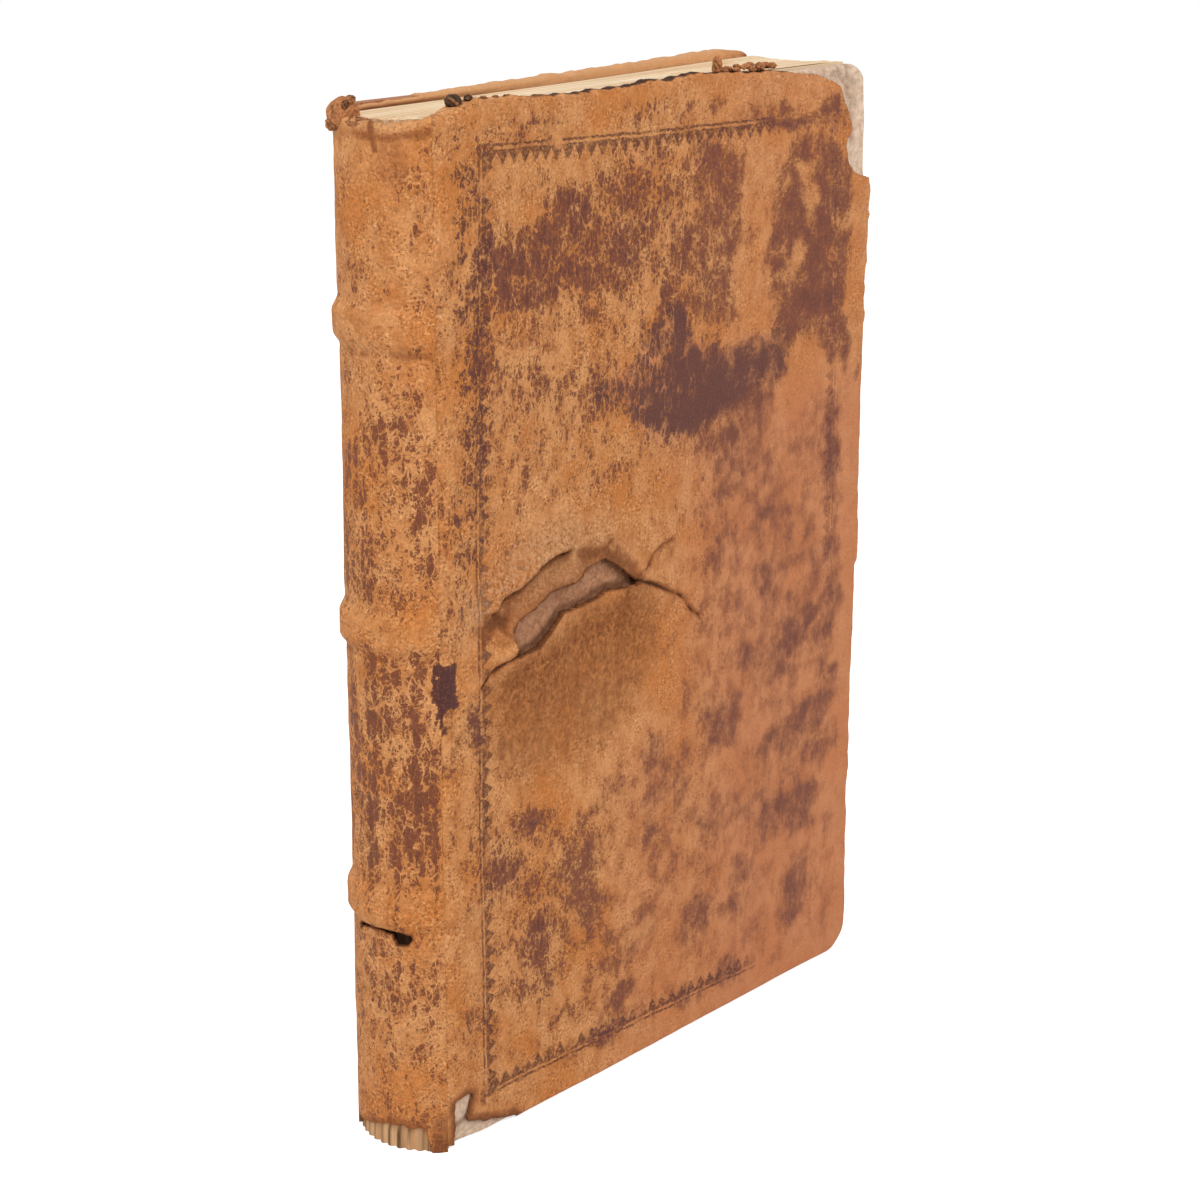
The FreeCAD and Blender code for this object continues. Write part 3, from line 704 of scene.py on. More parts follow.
# Where the front cover's dark glaze is left: (how much, softness of the outline, corners).
BARE = 0.30  # a place that no patch covers
STAIN = [
    (43, 146), (51, 144), (54, 139), (60, 134), (70, 131), (76, 133), (84, 137), (100, 139), (107, 141),
    (108, 150), (97, 152), (86, 151), (76, 153), (70, 160), (62, 157), (54, 151), (47, 149),
]
FRONT_PATCHES = [
    (0.26, 2.5, [(11, 182), (28, 184), (45, 189), (60, 193), (90, 193), (89, 178), (88, 158), (70, 153),
        (63, 166), (50, 166), (44, 158), (24, 162), (11, 160)]),
    (0.24, 3.0, [(12, 178), (30, 184), (60, 187), (62, 170), (44, 166), (14, 168)]),
    (0.10, 2.5, [(62, 184), (78, 192), (90, 193), (88, 156), (64, 154)]),
    (0.24, 2.5, [(11, 157), (24, 154), (44, 152), (48, 143), (38, 137), (24, 135), (10, 138)]),
    (0.12, 4.0, [(8, 162), (62, 166), (62, 152), (8, 152)]),
    (0.46, 4.0, STAIN),
    (0.22, 2.0, [(52, 143), (60, 137), (74, 134), (88, 139), (88, 147), (74, 150), (62, 148)]),
    (0.26, 3.0, [(72, 140), (104, 140), (98, 131), (84, 128), (74, 130)]),
    (0.42, 3.5, [(112, 192), (128, 190), (130, 184), (131, 160), (130, 139), (120, 140), (117, 148),
        (107, 150), (102, 155), (103, 166), (101, 178), (107, 182)]),
    (-0.42, 1.4, [(112, 187), (118, 185), (119.5, 178), (117, 170), (114, 171), (115, 178), (110, 182)]),
    (-0.34, 1.4, [(106, 167), (113, 168.5), (113, 164), (107, 162.5)]),
    (-0.22, 2.0, [(103, 191), (112, 192), (113, 188), (104, 185)]),
    (0.26, 1.2, [(18, 198), (37, 197.5), (38, 201), (28, 202.5), (18, 200.5)]),
    (0.24, 1.2, [(53, 197.5), (64, 197.5), (64, 201), (56, 201)]),
    (0.26, 1.2, [(66, 197.5), (92, 197), (91, 201.5), (80, 201), (70, 200)]),
    (0.40, 1.0, [(97, 196.2), (126, 195.4), (126, 192.6), (97, 193.2)]),
    (0.30, 1.2, [(102, 197), (113, 197), (112, 200), (104, 200.5)]),
    (0.20, 3.0, [(1, 136), (12, 134), (13, 106), (1, 106)]),
    (0.24, 3.0, [(4, 196), (11, 196), (10, 134), (3, 134)]),
    (0.12, 5.0, [(12, 134), (60, 132), (60, 126), (12, 124)]),
    (0.15, 6.0, [(76, 129), (100, 128), (126, 133), (128, 100), (120, 72), (90, 76), (76, 96)]),
    (0.09, 7.0, [(42, 66), (64, 74), (128, 95), (128, 12), (42, 8)]),
    (0.20, 4.0, [(10, 68), (22, 68), (42, 58), (44, 40), (34, 24), (12, 26)]),
    (-0.14, 2.0, [(14, 73), (30, 70), (54, 76), (66, 90), (72, 84), (58, 68), (34, 62), (16, 68)]),
    (-0.16, 1.5, [(8, 6), (128, 4.0), (128, -4), (8, -4)]),
    (-0.12, 2.0, [(130.5, 178), (139, 178), (139, -2), (130.5, -2)]),
]
# Stains and worn spots of the front cover: (s, z, half width, half height, how much).
FRONT_SPOTS = [
    (112, 41, 10, 6, 0.34), (115, 21, 6.5, 9, 0.34), (26, 37, 6, 5, 0.26), (14, 57, 5, 6, 0.20),
    (25, 62, 5, 4, 0.16), (36, 50, 6, 5, 0.18), (38, 42, 5, 4, 0.16), (76, 26, 7, 5, 0.26),
    (77, 8, 8, 3, 0.30), (90, 8, 6, 3.5, 0.30), (54, 15, 4, 2.5, 0.32), (46, 8, 6, 3, 0.20),
    (118, 61, 8, 4.5, 0.32), (122, 52, 7, 4, 0.26), (126, 68, 3, 7, 0.24), (117, 86, 4, 3, 0.30),
    (110, 82, 4, 4, 0.28), (108, 76, 5, 3, 0.24), (95, 79, 5, 4, 0.20), (104, 96, 6, 4, 0.22),
    (86, 67, 7, 5, 0.22), (63, 68, 4, 4, 0.20), (60, 53, 3, 6, 0.16), (104, 57, 6, 5, 0.20),
    (6, 27, 4, 4, 0.26), (95, 31, 6, 4, 0.22), (93, 22, 5, 4, 0.18), (25, 26, 6, 4, 0.20),
    (85, 50, 8, 4, 0.12), (92, 118, 8, 5, 0.14), (88, 126, 7, 5, 0.20), (104, 112, 7, 5, 0.14),
    (118, 104, 4, 7, 0.16), (126, 120, 3, 14, 0.30), (127, 90, 2.5, 12, 0.18), (103, 122, 5, 4, 0.12),
    (84, 105, 5, 4, 0.12), (10, 152, 3.5, 24, 0.16), (9, 86, 2.0, 7, 0.26), (7, 60, 3, 9, 0.14),
    (34, 18, 4, 3, 0.18), (27, 12, 4, 3, 0.14), (69, 40, 6, 5, 0.12), (99, 44, 6, 5, 0.14),
    (57, 33, 6, 4, 0.12), (75, 96, 6, 4, 0.08), (35, 158, 10, 6, -0.16), (96, 170, 7, 19, -0.06),
    (60, 162, 4, 4, -0.20), (18, 165, 7, 5, -0.10), (25, 187, 7, 3, -0.08), (115, 137, 16, 4, -0.22),
    (45, 120, 20, 6, -0.10), (-0.5, 152, 2.0, 12, 0.10), (-0.5, 2, 1.4, 4, 0.35),
    (136, 137, 2.0, 3.2, 0.8),
]
# A dark stain across the front joint, s measured from the middle of the spine.
JOINT_MARK = [
    (-17, 101), (-12.3, 100.6), (-12.2, 96), (-12.9, 93), (-12.9, 88), (-14, 87.5), (-14.4, 91),
    (-17, 92),
]
# Patches and spots of the spine, s measured from its middle, negative towards the front cover.
SPINE_PATCHES = [
    (0.10, 4.0, [(-15, 158), (15, 158), (15, 113), (-15, 113)]),
    (0.22, 4.0, [(-15, 150), (-2, 148), (8, 142), (8, 114), (-15, 114)]),
    (0.10, 2.0, [(-15, 112), (15, 112), (15, 101), (-15, 101)]),
    (0.32, 4.0, [(-15, 102), (3, 102), (8, 92), (7, 70), (4, 56), (-15, 56)]),
    (0.12, 4.0, [(5, 102), (15, 102), (15, 56), (4, 56)]),
    (0.16, 1.5, [(-15, 55), (15, 55), (15, 47), (-15, 47)]),
    (0.28, 4.0, [(-14, 45), (6, 45), (5, 28), (-12, 26)]),
    (0.08, 4.0, [(-15, 26), (14, 26), (14, 4), (-15, 4)]),
    (-0.06, 3.0, [(-15, 204), (15, 204), (15, 176), (-15, 176)]),
]
SPINE_SPOTS = [
    (-11.0, 184, 1.2, 3.6, 0.34), (-6.9, 194, 3.0, 4.4, 0.14), (-3.5, 190, 1.6, 3.4, 0.14),
    (-10.6, 129, 1.6, 13, 0.24), (-7.3, 74, 1.5, 12, 0.22), (-7.0, 60, 1.4, 9, 0.24),
    (3.8, 145, 1.8, 3, 0.18), (-11.5, 161, 2.4, 1.6, 0.30), (-5.0, 160, 4.0, 1.6, 0.24),
    (-8.2, 152, 1.2, 1.6, 0.34), (-9.0, 104, 5.0, 1.6, 0.22), (-12.5, 8, 2.0, 6, 0.12),
    (-12.6, 2, 2.6, 3.5, 0.4), (-9.5, 34, 2.4, 5, 0.16), (-3.5, 62, 1.2, 14, 0.14),
    (-10.2, 66, 1.1, 14, 0.20), (-9.8, 88, 1.2, 12, 0.18), (-5.6, 92, 1.0, 9, 0.16),
    (8.0, 135, 1.2, 14, 0.12), (10, 80, 1.2, 18, 0.14), (-12.6, 120, 1.2, 8, 0.20),
    (-1.5, 130, 1.2, 10, 0.10), (-5.5, 38, 2.0, 5, 0.14), (0.5, 84, 1.0, 12, 0.12), (-8, 172, 5, 3, 0.10),
    (2, 178, 4, 5, 0.06), (-4, 16, 1.4, 3, 0.10), (3.2, 22, 1.2, 4, 0.10), (6.5, 42, 1.4, 5, 0.16),
]


def glaze_left(s, z, patches, spots, seed):
    """How much of the dark glaze is left at places on the skin, 0 to 1."""
    bent_s = s + 2.4 * clouds(s, z, 11, seed) + 0.9 * clouds(s, z, 3, seed + 30)
    bent_z = z + 2.4 * clouds(s, z, 11, seed + 10) + 0.9 * clouds(s, z, 3, seed + 40)
    total = np.zeros(np.shape(s))
    for amount, softness, corners in patches:
        total += amount * rise(patch_distance(bent_s, bent_z, corners), softness, -softness)
    for cs, cz, rs, rz, amount in spots:
        reach = np.hypot((bent_s - cs) / rs, (bent_z - cz) / rz)
        total += amount * rise(reach, 1.35, 0.55)
    return total


def joint_mark(s, z):
    """1 on the dark stain across the front joint; s runs from the middle of the spine."""
    return rise(patch_distance(s, z, JOINT_MARK) + 0.7 * clouds(s, z, 2.5, 87, 4), 0.8, -0.6)


def edge_wear(s, z):
    """1 at the worn edges of a cover and 0 away from them."""
    inward = np.minimum(np.minimum(WIDTH - s, z), HEIGHT - z)
    return rise(inward + 1.2 * clouds(s, z, 7, 91, 3), 5.5, 2.5)


def dress(sheet, name, place, values, bend_map=None):
    """Makes a leather object from a sheet, and gives it the calf."""
    sheet.tidy()
    points = place(sheet)
    found = values(sheet)
    found["flesh"] = np.maximum(sheet.flesh, found.pop("raw"))
    if bend_map:
        bend_map(sheet)
    skin = np.stack([sheet.map_s, sheet.map_z], -1)
    thing = make_object(name, points, sheet.faces, MATERIALS["calf"], found, skin)
    return thing


def spacing(stops):
    """Grid lines from (place, step up to the next place) stops."""
    lines = [np.linspace(a, b, max(2, round((b - a) / step) + 1))[:-1]
             for (a, step), (b, _) in zip(stops, stops[1:])]
    return np.append(np.concatenate(lines), stops[-1][0])


def round_corner(s, z, radius, centre_z, upper):
    """Draws the grid's square corner at the fore-edge in to an arc."""
    centre_s = WIDTH - radius
    ds = s - centre_s
    dz = (z - centre_z) if upper else (centre_z - z)
    inside = (ds > 0) & (dz > 0)
    length = np.maximum(np.hypot(ds, dz), 1e-9)
    scale = np.where(inside, np.maximum(ds, dz) / length, 1.0)
    return centre_s + ds * scale, centre_z + (dz if upper else -dz) * scale


EDGE_ROUND = 0.9
TURN_IN_STEPS = (2, 5, 9, TURN_IN_WIDTH)


def plate(columns, rows, edges, depths, inner_reach, relief, start_depth, ragged=0.0):
    """A cover-shaped skin: its face, its three edges and a band on its inside.

    edges are the outlines at the head, the fore-edge and the tail. depths are those of
    the outer and the inner face. relief(s, z) stands outwards from the face.
    start_depth(s) holds the inner face back over the joint.
    """
    sheet = Sheet()
    head_edge, fore_edge, tail_edge = edges
    outer, inner = depths
    grid_s, grid_z = np.meshgrid(columns, rows, indexing="ij")
    grid_s, grid_z = round_corner(grid_s, grid_z, TAIL_CORNER, TAIL_CORNER, False)
    grid_s, grid_z = round_corner(grid_s, grid_z, HEAD_CORNER, HEIGHT - HEAD_CORNER, True)
    near = 6.0
    move_z = profile(head_edge, grid_s) * rise(grid_z, HEIGHT - near, HEIGHT)
    move_z = move_z + profile(tail_edge, grid_s) * rise(grid_z, near, 0)
    move_s = profile(fore_edge, grid_z) * rise(grid_s, WIDTH - near, WIDTH)
    move_z = move_z + ragged * clouds(grid_s, 0 * grid_s, 2.2, 551, 4) * rise(grid_z, HEIGHT - 3, HEIGHT)
    move_s = move_s + 0.6 * ragged * clouds(0 * grid_z, grid_z, 3.0, 561, 4) * rise(grid_s, WIDTH - 3, WIDTH)
    inset_s = EDGE_ROUND * rise(grid_s, WIDTH - near, WIDTH)
    inset_z = EDGE_ROUND * (rise(grid_z, HEIGHT - near, HEIGHT) - rise(grid_z, near, 0))
    face_s, face_z = grid_s + move_s - inset_s, grid_z + move_z - inset_z
    numbers = sheet.add_points(face_s, face_z, outer - relief(face_s, face_z))
    sheet.add_faces(numbers)
    ring = np.concatenate([numbers[:, 0], numbers[-1, 1:], numbers[-2::-1, -1]])
    out_s = np.concatenate([np.zeros(len(columns)), np.ones(len(rows) - 1), np.zeros(len(columns) - 1)])
    out_z = np.concatenate([-np.ones(len(columns)), np.zeros(len(rows) - 1), np.ones(len(columns) - 1)])
    for radius, centre_z, sign in ((TAIL_CORNER, TAIL_CORNER, -1), (HEAD_CORNER, HEIGHT - HEAD_CORNER, 1)):
        ds = sheet.s[ring] - (WIDTH - radius)
        dz = (sheet.z[ring] - centre_z) * sign
        at_corner = (ds > 0) & (dz > 0)
        length = np.maximum(np.hypot(ds, dz), 1e-9)
        out_s = np.where(at_corner, ds / length, out_s)
        out_z = np.where(at_corner, sign * dz / length, out_z)
    base_s, base_z = sheet.s[ring].copy(), sheet.z[ring].copy()
    base_depth = sheet.depth[ring].copy()
    thick = start_depth(base_s)
    inner_round = 0.7
    steps = []
    for turn in (0.25, 0.5, 0.75, 1.0):
        angle = turn * math.pi / 2
        steps.append((EDGE_ROUND * math.sin(angle), EDGE_ROUND * (1 - math.cos(angle)) / (inner - outer)))
    steps += [(EDGE_ROUND, share) for share in (0.5, 0.65)]
    for turn in (0.0, 0.5, 1.0):
        angle = turn * math.pi / 2
        steps.append((EDGE_ROUND - inner_round * (1 - math.cos(angle)),
                      1 - inner_round / (inner - outer) * (1 - math.sin(angle))))
    previous = ring
    run = 0.0
    last_out, last_share = 0.0, 0.0
    for out, share in steps:
        run += math.hypot(out - last_out, (share - last_share) * (inner - outer))
        last_out, last_share = out, share
        depth = base_depth + (thick - (base_depth - outer)) * share
        current = sheet.add_points(base_s + out_s * out, base_z + out_z * out, depth, 0.0,
                                   base_s + out_s * run, base_z + out_z * run)
        sheet.add_faces(np.stack([current, previous], -1))
        previous = current
    for reach in inner_reach:
        held = np.clip(base_s, BOARD_SETBACK, WIDTH - reach)
        inward_s = np.where(base_s < BOARD_SETBACK, base_s, held)
        inward_z = np.clip(base_z, reach, HEIGHT - reach)
        current = sheet.add_points(inward_s, inward_z, outer + thick, 0.0,
                                   base_s + out_s * (run + reach), base_z + out_z * (run + reach))
        sheet.add_faces(np.stack([current, previous], -1))
        previous = current
    return sheet


def band_relief(s, z):
    """How far the leather stands out over the laced slips of a cover."""
    total = np.zeros(np.shape(s))
    for band in BANDS:
        along = rise(s, SLIP_REACH + 1.0, 4.0)
        total = total + SLIP_RISE * along * rise(np.abs(z - band), BAND_HALF_WIDTH + 0.6, 0.8)
    return total


def uneven(s, z, seed):
    return 0.16 * clouds(s, z, 22, seed, 3) + 0.05 * clouds(s, z, 3.5, seed + 5, 3)


def across_line(s, z, corners):
    """Height over a line of corners that runs along the cover."""
    return z - profile(corners, s)


def front_relief(s, z):
    """Height of the front cover's skin over its plain face."""
    height = band_relief(s, z) + uneven(s, z, 3)
    away = np.maximum(patch_distance(s, z, TEAR), 0)
    above = rise(across_line(s, z, MIDDLE_LINE), -0.8, 0.8)
    height = height + (0.55 - 0.2 * above) * bell(away, 2.6)
    height = height + 0.50 * bell(away, 14.0)
    under = patch_distance(s, z, UNDER_LAYER)
    lip = bell(line_distance(s, z, UPPER_LIP), 3.0)
    lip = lip * rise(across_line(s, z, UPPER_LIP), -0.2, 0.8)
    height = height + 1.25 * lip * rise(s, 38, 32)
    height = height - 0.60 * rise(under, 0.5, -0.6) * rise(s, 44, 34)
    fold = bell(line_distance(s, z, [(16, 102.6), (22, 106.6), (30, 110.2), (37, 110.6)]), 1.1)
    height = height + 0.55 * fold
    near = rise(under, 9.0, 0.0)
    height = height + (0.22 * clouds(s, z, 1.6, 61, 3) + 0.12 * clouds(s, z, 0.8, 62, 2)) * near
    height = height - 0.35 * rise(patch_distance(s, z, SUEDE), 3.0, -8.0) * rise(away, 2, 9)
    raised = bell(line_distance(s, z, FLAP_EDGE), 4.0) * rise(across_line(s, z, FLAP_EDGE), 0.2, -0.6)
    height = height + 0.95 * raised
    for half, depth, corners in CRACKS:
        distance = line_distance(s, z, corners)
        height = height - depth * bell(distance, half) + 0.20 * bell(distance, 1.8)
    return height


def joint_depth(outer, inner):
    """The inner face's depth along a cover: the skin's own over the joint, the turn-in's past it."""
    return lambda s: outer + COVER_SKIN + (inner - outer - COVER_SKIN) * rise(s, 0.2, 1.4)


def front_values(sheet):
    s, z = sheet.map_s, sheet.map_z
    sunk_head_shade = hollow_head(sheet)
    inside = sheet.depth > 2.0
    dark = BARE + glaze_left(s, z, FRONT_PATCHES, FRONT_SPOTS, 11)
    dark = dark + 0.12 * clouds(s, z, 9, 951, 3) + 0.08 * clouds(s * 0.8, z, 3.5, 961, 2)
    worn = edge_wear(s, z)
    torn = patch_distance(s, z, TEAR)
    under_away = patch_distance(s, z, UNDER_LAYER)
    suede = rise(patch_distance(s, z, SUEDE) + 1.6 * clouds(s, z, 8, 71), 4.0, -4.0)
    suede = suede * (0.55 + 0.45 * rise(torn, 26, 2))
    under = rise(under_away + 0.9 * clouds(s, z, 2.4, 73, 3), 1.6, -0.8)
    # Painted shadow: a soft dark area at the left end of the tear.
    shadow = np.hypot((s - 13.5) / 8.5, (z - 106.2 + 0.2 * (13.5 - s)) / 4.6) + 0.3 * clouds(s, z, 2, 79, 3)
    dirt = 0.70 * rise(shadow, 1.1, 0.1)
    # Painted shade under the tear's upper right edge.
    upper_right_shade = line_distance(s, z, [(39.0, 114.6), (45.7, 113.8), (50.9, 110.9), (56.5, 106.6)])
    dirt = np.maximum(dirt, 0.62 * rise(upper_right_shade + 0.7 * clouds(s, z, 2, 81, 3), 3.0, 0.2))
    halo = 0.34 * rise(torn + 0.8 * clouds(s, z, 3, 83, 3), 3.4, 0.3)
    dirt = np.maximum(dirt, halo * rise(across_line(s, z, MIDDLE_LINE), -1, 1))
    # Painted shade on the layer under the upper lip.
    lip_gap = -across_line(s, z, UPPER_LIP)
    under_lip_shade = rise(lip_gap, 2.8, 0.2) * rise(lip_gap, -0.4, 0.1)
    dirt = np.maximum(dirt, 0.62 * under_lip_shade * rise(under_away, 1.0, 0.0))
    ring = np.abs(np.hypot(s - 29, z - 157) - 0.85)
    dirt = np.maximum(dirt, 0.6 * rise(ring, 0.45, 0.1))
    lost_edge = patch_distance(s, z, TAIL_LOSS)
    dirt = np.maximum(dirt, 0.66 * rise(lost_edge + 0.5 * clouds(s, z, 3, 85, 3), 2.4, 0.2) * rise(z, -3, 0))
    # Darker in and around the cracks: painted shade in their recesses, along with soiling.
    for half, depth, corners in CRACKS:
        distance = line_distance(s, z, corners) + 0.25 * clouds(s, z, 1.5, 75, 3)
        dirt = np.maximum(dirt, rise(distance, 1.5 * half, 0.3 * half) * min(0.9, depth + 0.25))
        dirt = np.maximum(dirt, 0.34 * rise(distance, 1.9, 0.2))
    # A dark line along the tear's edge: painted shadow where the lips stand over the board, with the dark
    # torn flesh.
    dirt = np.maximum(dirt, 0.75 * rise(torn, 0.7, 0.0) * rise(s, 12, 18))
    dark = dark * (1 - 0.55 * worn) * (1 - 0.55 * rise(torn, 12, 2))
    mark = joint_mark(-s - HALF_ARC, z)
    dark = np.maximum(dark, 1.15 * mark)
    crackle = 0.25 + 0.75 * rise(s, 95, 60) * rise(z, 88, 118)
    crackle = np.maximum(crackle, 0.85 * rise(s, 46, 26) * rise(z, 84, 66))
    stain = rise(patch_distance(s, z, STAIN) + 1.2 * clouds(s, z, 5, 77, 3), 1.5, -1.5)
    strip = rise(np.abs(s - 6.5), 5.0, 2.0) * rise(z, 70, 96)
    stain = np.maximum(np.maximum(stain, 0.55 * strip), mark)
    soft = rise(s, 52, 98) * (0.35 + 0.65 * rise(z, 150, 128))
    soft = np.maximum(soft, 0.6 * rise(s, 34, 66) * rise(z, 86, 60))
    soft = np.maximum(soft, 0.75 * rise(patch_distance(s, z, STAIN), 1.0, -2.0))
    bloom = rise(under_away, 12, 2) * rise(z, 104, 110) * rise(s, 58, 44)
    tooled = np.where(s > 100, 0.55 * rise(z, 88, 100), 1.0) * rise(torn, 3, 7)
    tooled = tooled * np.where(z < 20, rise(s, 108, 90), 1.0)
    return {
        "dark": np.where(inside, 0.15, dark),
        "crackle": crackle,
        "suede": np.clip(suede, 0, 1),
        "stain": stain,
        "soft": soft,
        "bloom": np.where(inside, 0, bloom),
        "raw": np.where(inside, 0, under * 0.45),
        # Painted shade on the sunk top of the head edge, behind the board's crest.
        "dirt": np.maximum(np.where(inside, 0, dirt), 0.95 * sunk_head_shade),
        "tooled": np.where(sheet.depth > 1.5, 0.0, tooled),
        "rubbed": rise(sheet.depth, 0.3, 0.8) * (1 - sunk_head_shade) * 0.3,
    }


def rear_values(sheet):
    s, z = sheet.map_s, sheet.map_z
    inside = sheet.depth > 2.0
    above_leaves = sheet.z - LEAF_HEAD - LEAF_HEAD_SLOPE * sheet.s
    blot = clouds(s, z, 38, 205, 4)
    dark = BARE + 0.12 + 0.30 * blot + 0.10 * clouds(s, z, 8, 951, 3)
    worn = edge_wear(s, z)
    return {
        "dark": np.where(inside, 0.15, dark * (1 - 0.6 * worn)),
        "crackle": 0.25 + 0.7 * rise(blot, -0.3, 0.4),
        "suede": 0 * s, "stain": 0.8 * rise(blot, 0.35, 0.8), "soft": 0.45 * rise(blot, -0.1, -0.6),
        "bloom": 0 * s, "raw": 0 * s, "tooled": np.where(sheet.depth > 1.5, 0.0, 0.9),
        # Painted shade: a thin dark line on the inside of the rear cover, just above the head of the leaves.
        "dirt": 0.6 * inside * bell(above_leaves - 0.2, 0.5),
        "rubbed": rise(sheet.depth, 0.3, 0.8) * rise(z, 60, 190) * rise(s, 132, 118),
    }


def follow_tooling(sheet):
    """Bends the map of the front cover, so that the border runs as slanted as it was tooled."""
    left_line = [(0, 0.2), (30, 0.2), (60, -0.4), (120, -0.4), (150, 0.3), (180, 1.3), (200, 2.0)]
    left = profile(left_line, sheet.map_z)
    top = profile([(0, 1.1), (17, 0.8), (57, -0.3), (103, -0.9), (140, -1.2)], sheet.map_s)
    bottom = profile([(0, 0.5), (21, 0.4), (60, -0.5), (118, -2.6), (140, -2.8)], sheet.map_s)
    s, z = sheet.map_s.copy(), sheet.map_z.copy()
    sheet.map_s = s - left * rise(s, 34, 18)
    sheet.map_z = z - top * rise(z, 176, 188) - bottom * rise(z, 26, 16)


def hollow_head(sheet):
    """Sinks the top of the front cover's head edge, where its leather has broken in, and returns where it
    sinks, which front_values paints dark as shade.
    """
    along = rise(sheet.s, 22, 32) * rise(sheet.s, 112, 104)
    across = rise(sheet.depth + 0.35 * clouds(sheet.s, sheet.depth, 2.0, 571, 3), 0.5, 1.0)
    on_top = rise(sheet.z, HEIGHT - 4.0, HEIGHT - 1.2)
    sheet.z = sheet.z - 0.8 * along * across * on_top
    return along * across * on_top


def make_front_skin():
    columns = spacing([(-SEAM, 0.65), (4, 0.5), (8, 0.34), (60, 0.5), (80, 1.1), (WIDTH - 8, 0.7),
                       (WIDTH, 0.7)])
    rows = spacing([(0, 0.55), (12, 1.15), (90, 0.34), (119, 1.15), (176, 0.8), (HEIGHT, 0.8)])
    sheet = plate(columns, rows, (HEAD_EDGE, FORE_EDGE, TAIL_EDGE), (0.0, COVER_DEPTH), TURN_IN_STEPS,
                  front_relief, joint_depth(0.0, COVER_DEPTH), 0.32)
    sheet.cut(TEAR, 2.5, COVER_SKIN + 0.6, 41)
    sheet.cut(TAIL_LOSS, TURN_IN_DEPTH, COVER_SKIN, 43)
    sheet.cut(HEAD_LOSS, COVER_DEPTH - 0.15, COVER_SKIN, 45)
    thing = dress(sheet, "front_skin", lambda p: wrap(p.s, p.depth, p.z, -1), front_values,
                  follow_tooling)
    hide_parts("front_leather")
    return thing


def make_rear_skin():
    columns = spacing([(-SEAM, 0.65), (12, 1.4), (WIDTH - 8, 0.8), (WIDTH, 0.8)])
    rows = spacing([(0, 0.8), (8, 1.4), (HEIGHT - 8, 0.8), (HEIGHT, 0.8)])
    sheet = plate(columns, rows, (PLAIN_HEAD, PLAIN_FORE, PLAIN_TAIL), (0.0, COVER_DEPTH), TURN_IN_STEPS,
                  lambda s, z: band_relief(s, z) + uneven(s, z, 7), joint_depth(0.0, COVER_DEPTH), 0.2)
    sheet.faces = sheet.faces[:, ::-1]
    thing = dress(sheet, "rear_skin", lambda p: wrap(p.s, p.depth, p.z, 1), rear_values)
    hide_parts("rear_leather")
    return thing


# Head rim and worn tail of the spine leather, (place from the middle, height).
SPINE_HEAD = [
    (-14.9, 203.2), (-13.0, 202.9), (-11.6, 202.5), (-8.0, 201.9), (-4.0, 201.6), (-1.0, 201.9),
    (2.0, 202.2), (7.0, 202.2), (9.5, 201.5), (12.0, 201.9), (14.9, 203.2),
]
SPINE_TAIL = [
    (-14.9, 0.0), (-10.3, 0.0), (-9.9, 2.2), (-9.5, 4.9), (-8.4, 5.5), (-6.5, 5.1), (-3.9, 5.9),
    (-1.0, 5.2), (1.9, 4.4), (6.2, 3.5), (9.6, 2.7), (11.0, 2.4), (11.6, 0.0), (14.9, 0.0),
]
SPINE_SPLIT = [
    (5.3, 46.1), (4.5, 45.1), (3.9, 46.1), (2.2, 46.4), (-1.3, 46.5), (-3.3, 46.1), (-4.4, 44.2),
    (-6.8, 44.3), (-7.5, 45.6), (-7.1, 46.6), (-4.6, 46.9), (-1.3, 47.2), (2.4, 47.0), (4.4, 46.9),
]
WORMHOLES = [(6.8, 72.2, 0.45), (6.4, 63.0, 0.4)]


def spine_relief(s, z):
    """How far the leather stands out from the plain spine. s runs from the middle."""
    side = rise(np.abs(s), HALF_ARC + 1.5, 8.0)
    height = uneven(s, z, 13) + 0.4 * side
    for band in BANDS:
        across = rise(np.abs(z - band), BAND_HALF_WIDTH + 0.1, 2.0)
        crest = SLIP_RISE + (BAND_RISE + 0.25 - SLIP_RISE) * side
        height = height + crest * across
        foot = np.abs(np.abs(z - band) - BAND_HALF_WIDTH - 0.4)
        height = height - 0.16 * bell(foot, 0.9) * side
    away = patch_distance(s, z, SPINE_SPLIT)
    height = height + 0.45 * bell(np.maximum(away, 0), 1.4)
    height = height + 0.12 * clouds(s, z * 0.25, 1.8, 83, 2) * side
    for cs, cz, radius in WORMHOLES:
        height = height - 1.2 * rise(np.hypot(s - cs, (z - cz) * 0.8), radius * 1.5, radius * 0.5)
    head = rise(z, HEIGHT - 7.0, HEIGHT - 3.0)
    return height + 0.35 * head


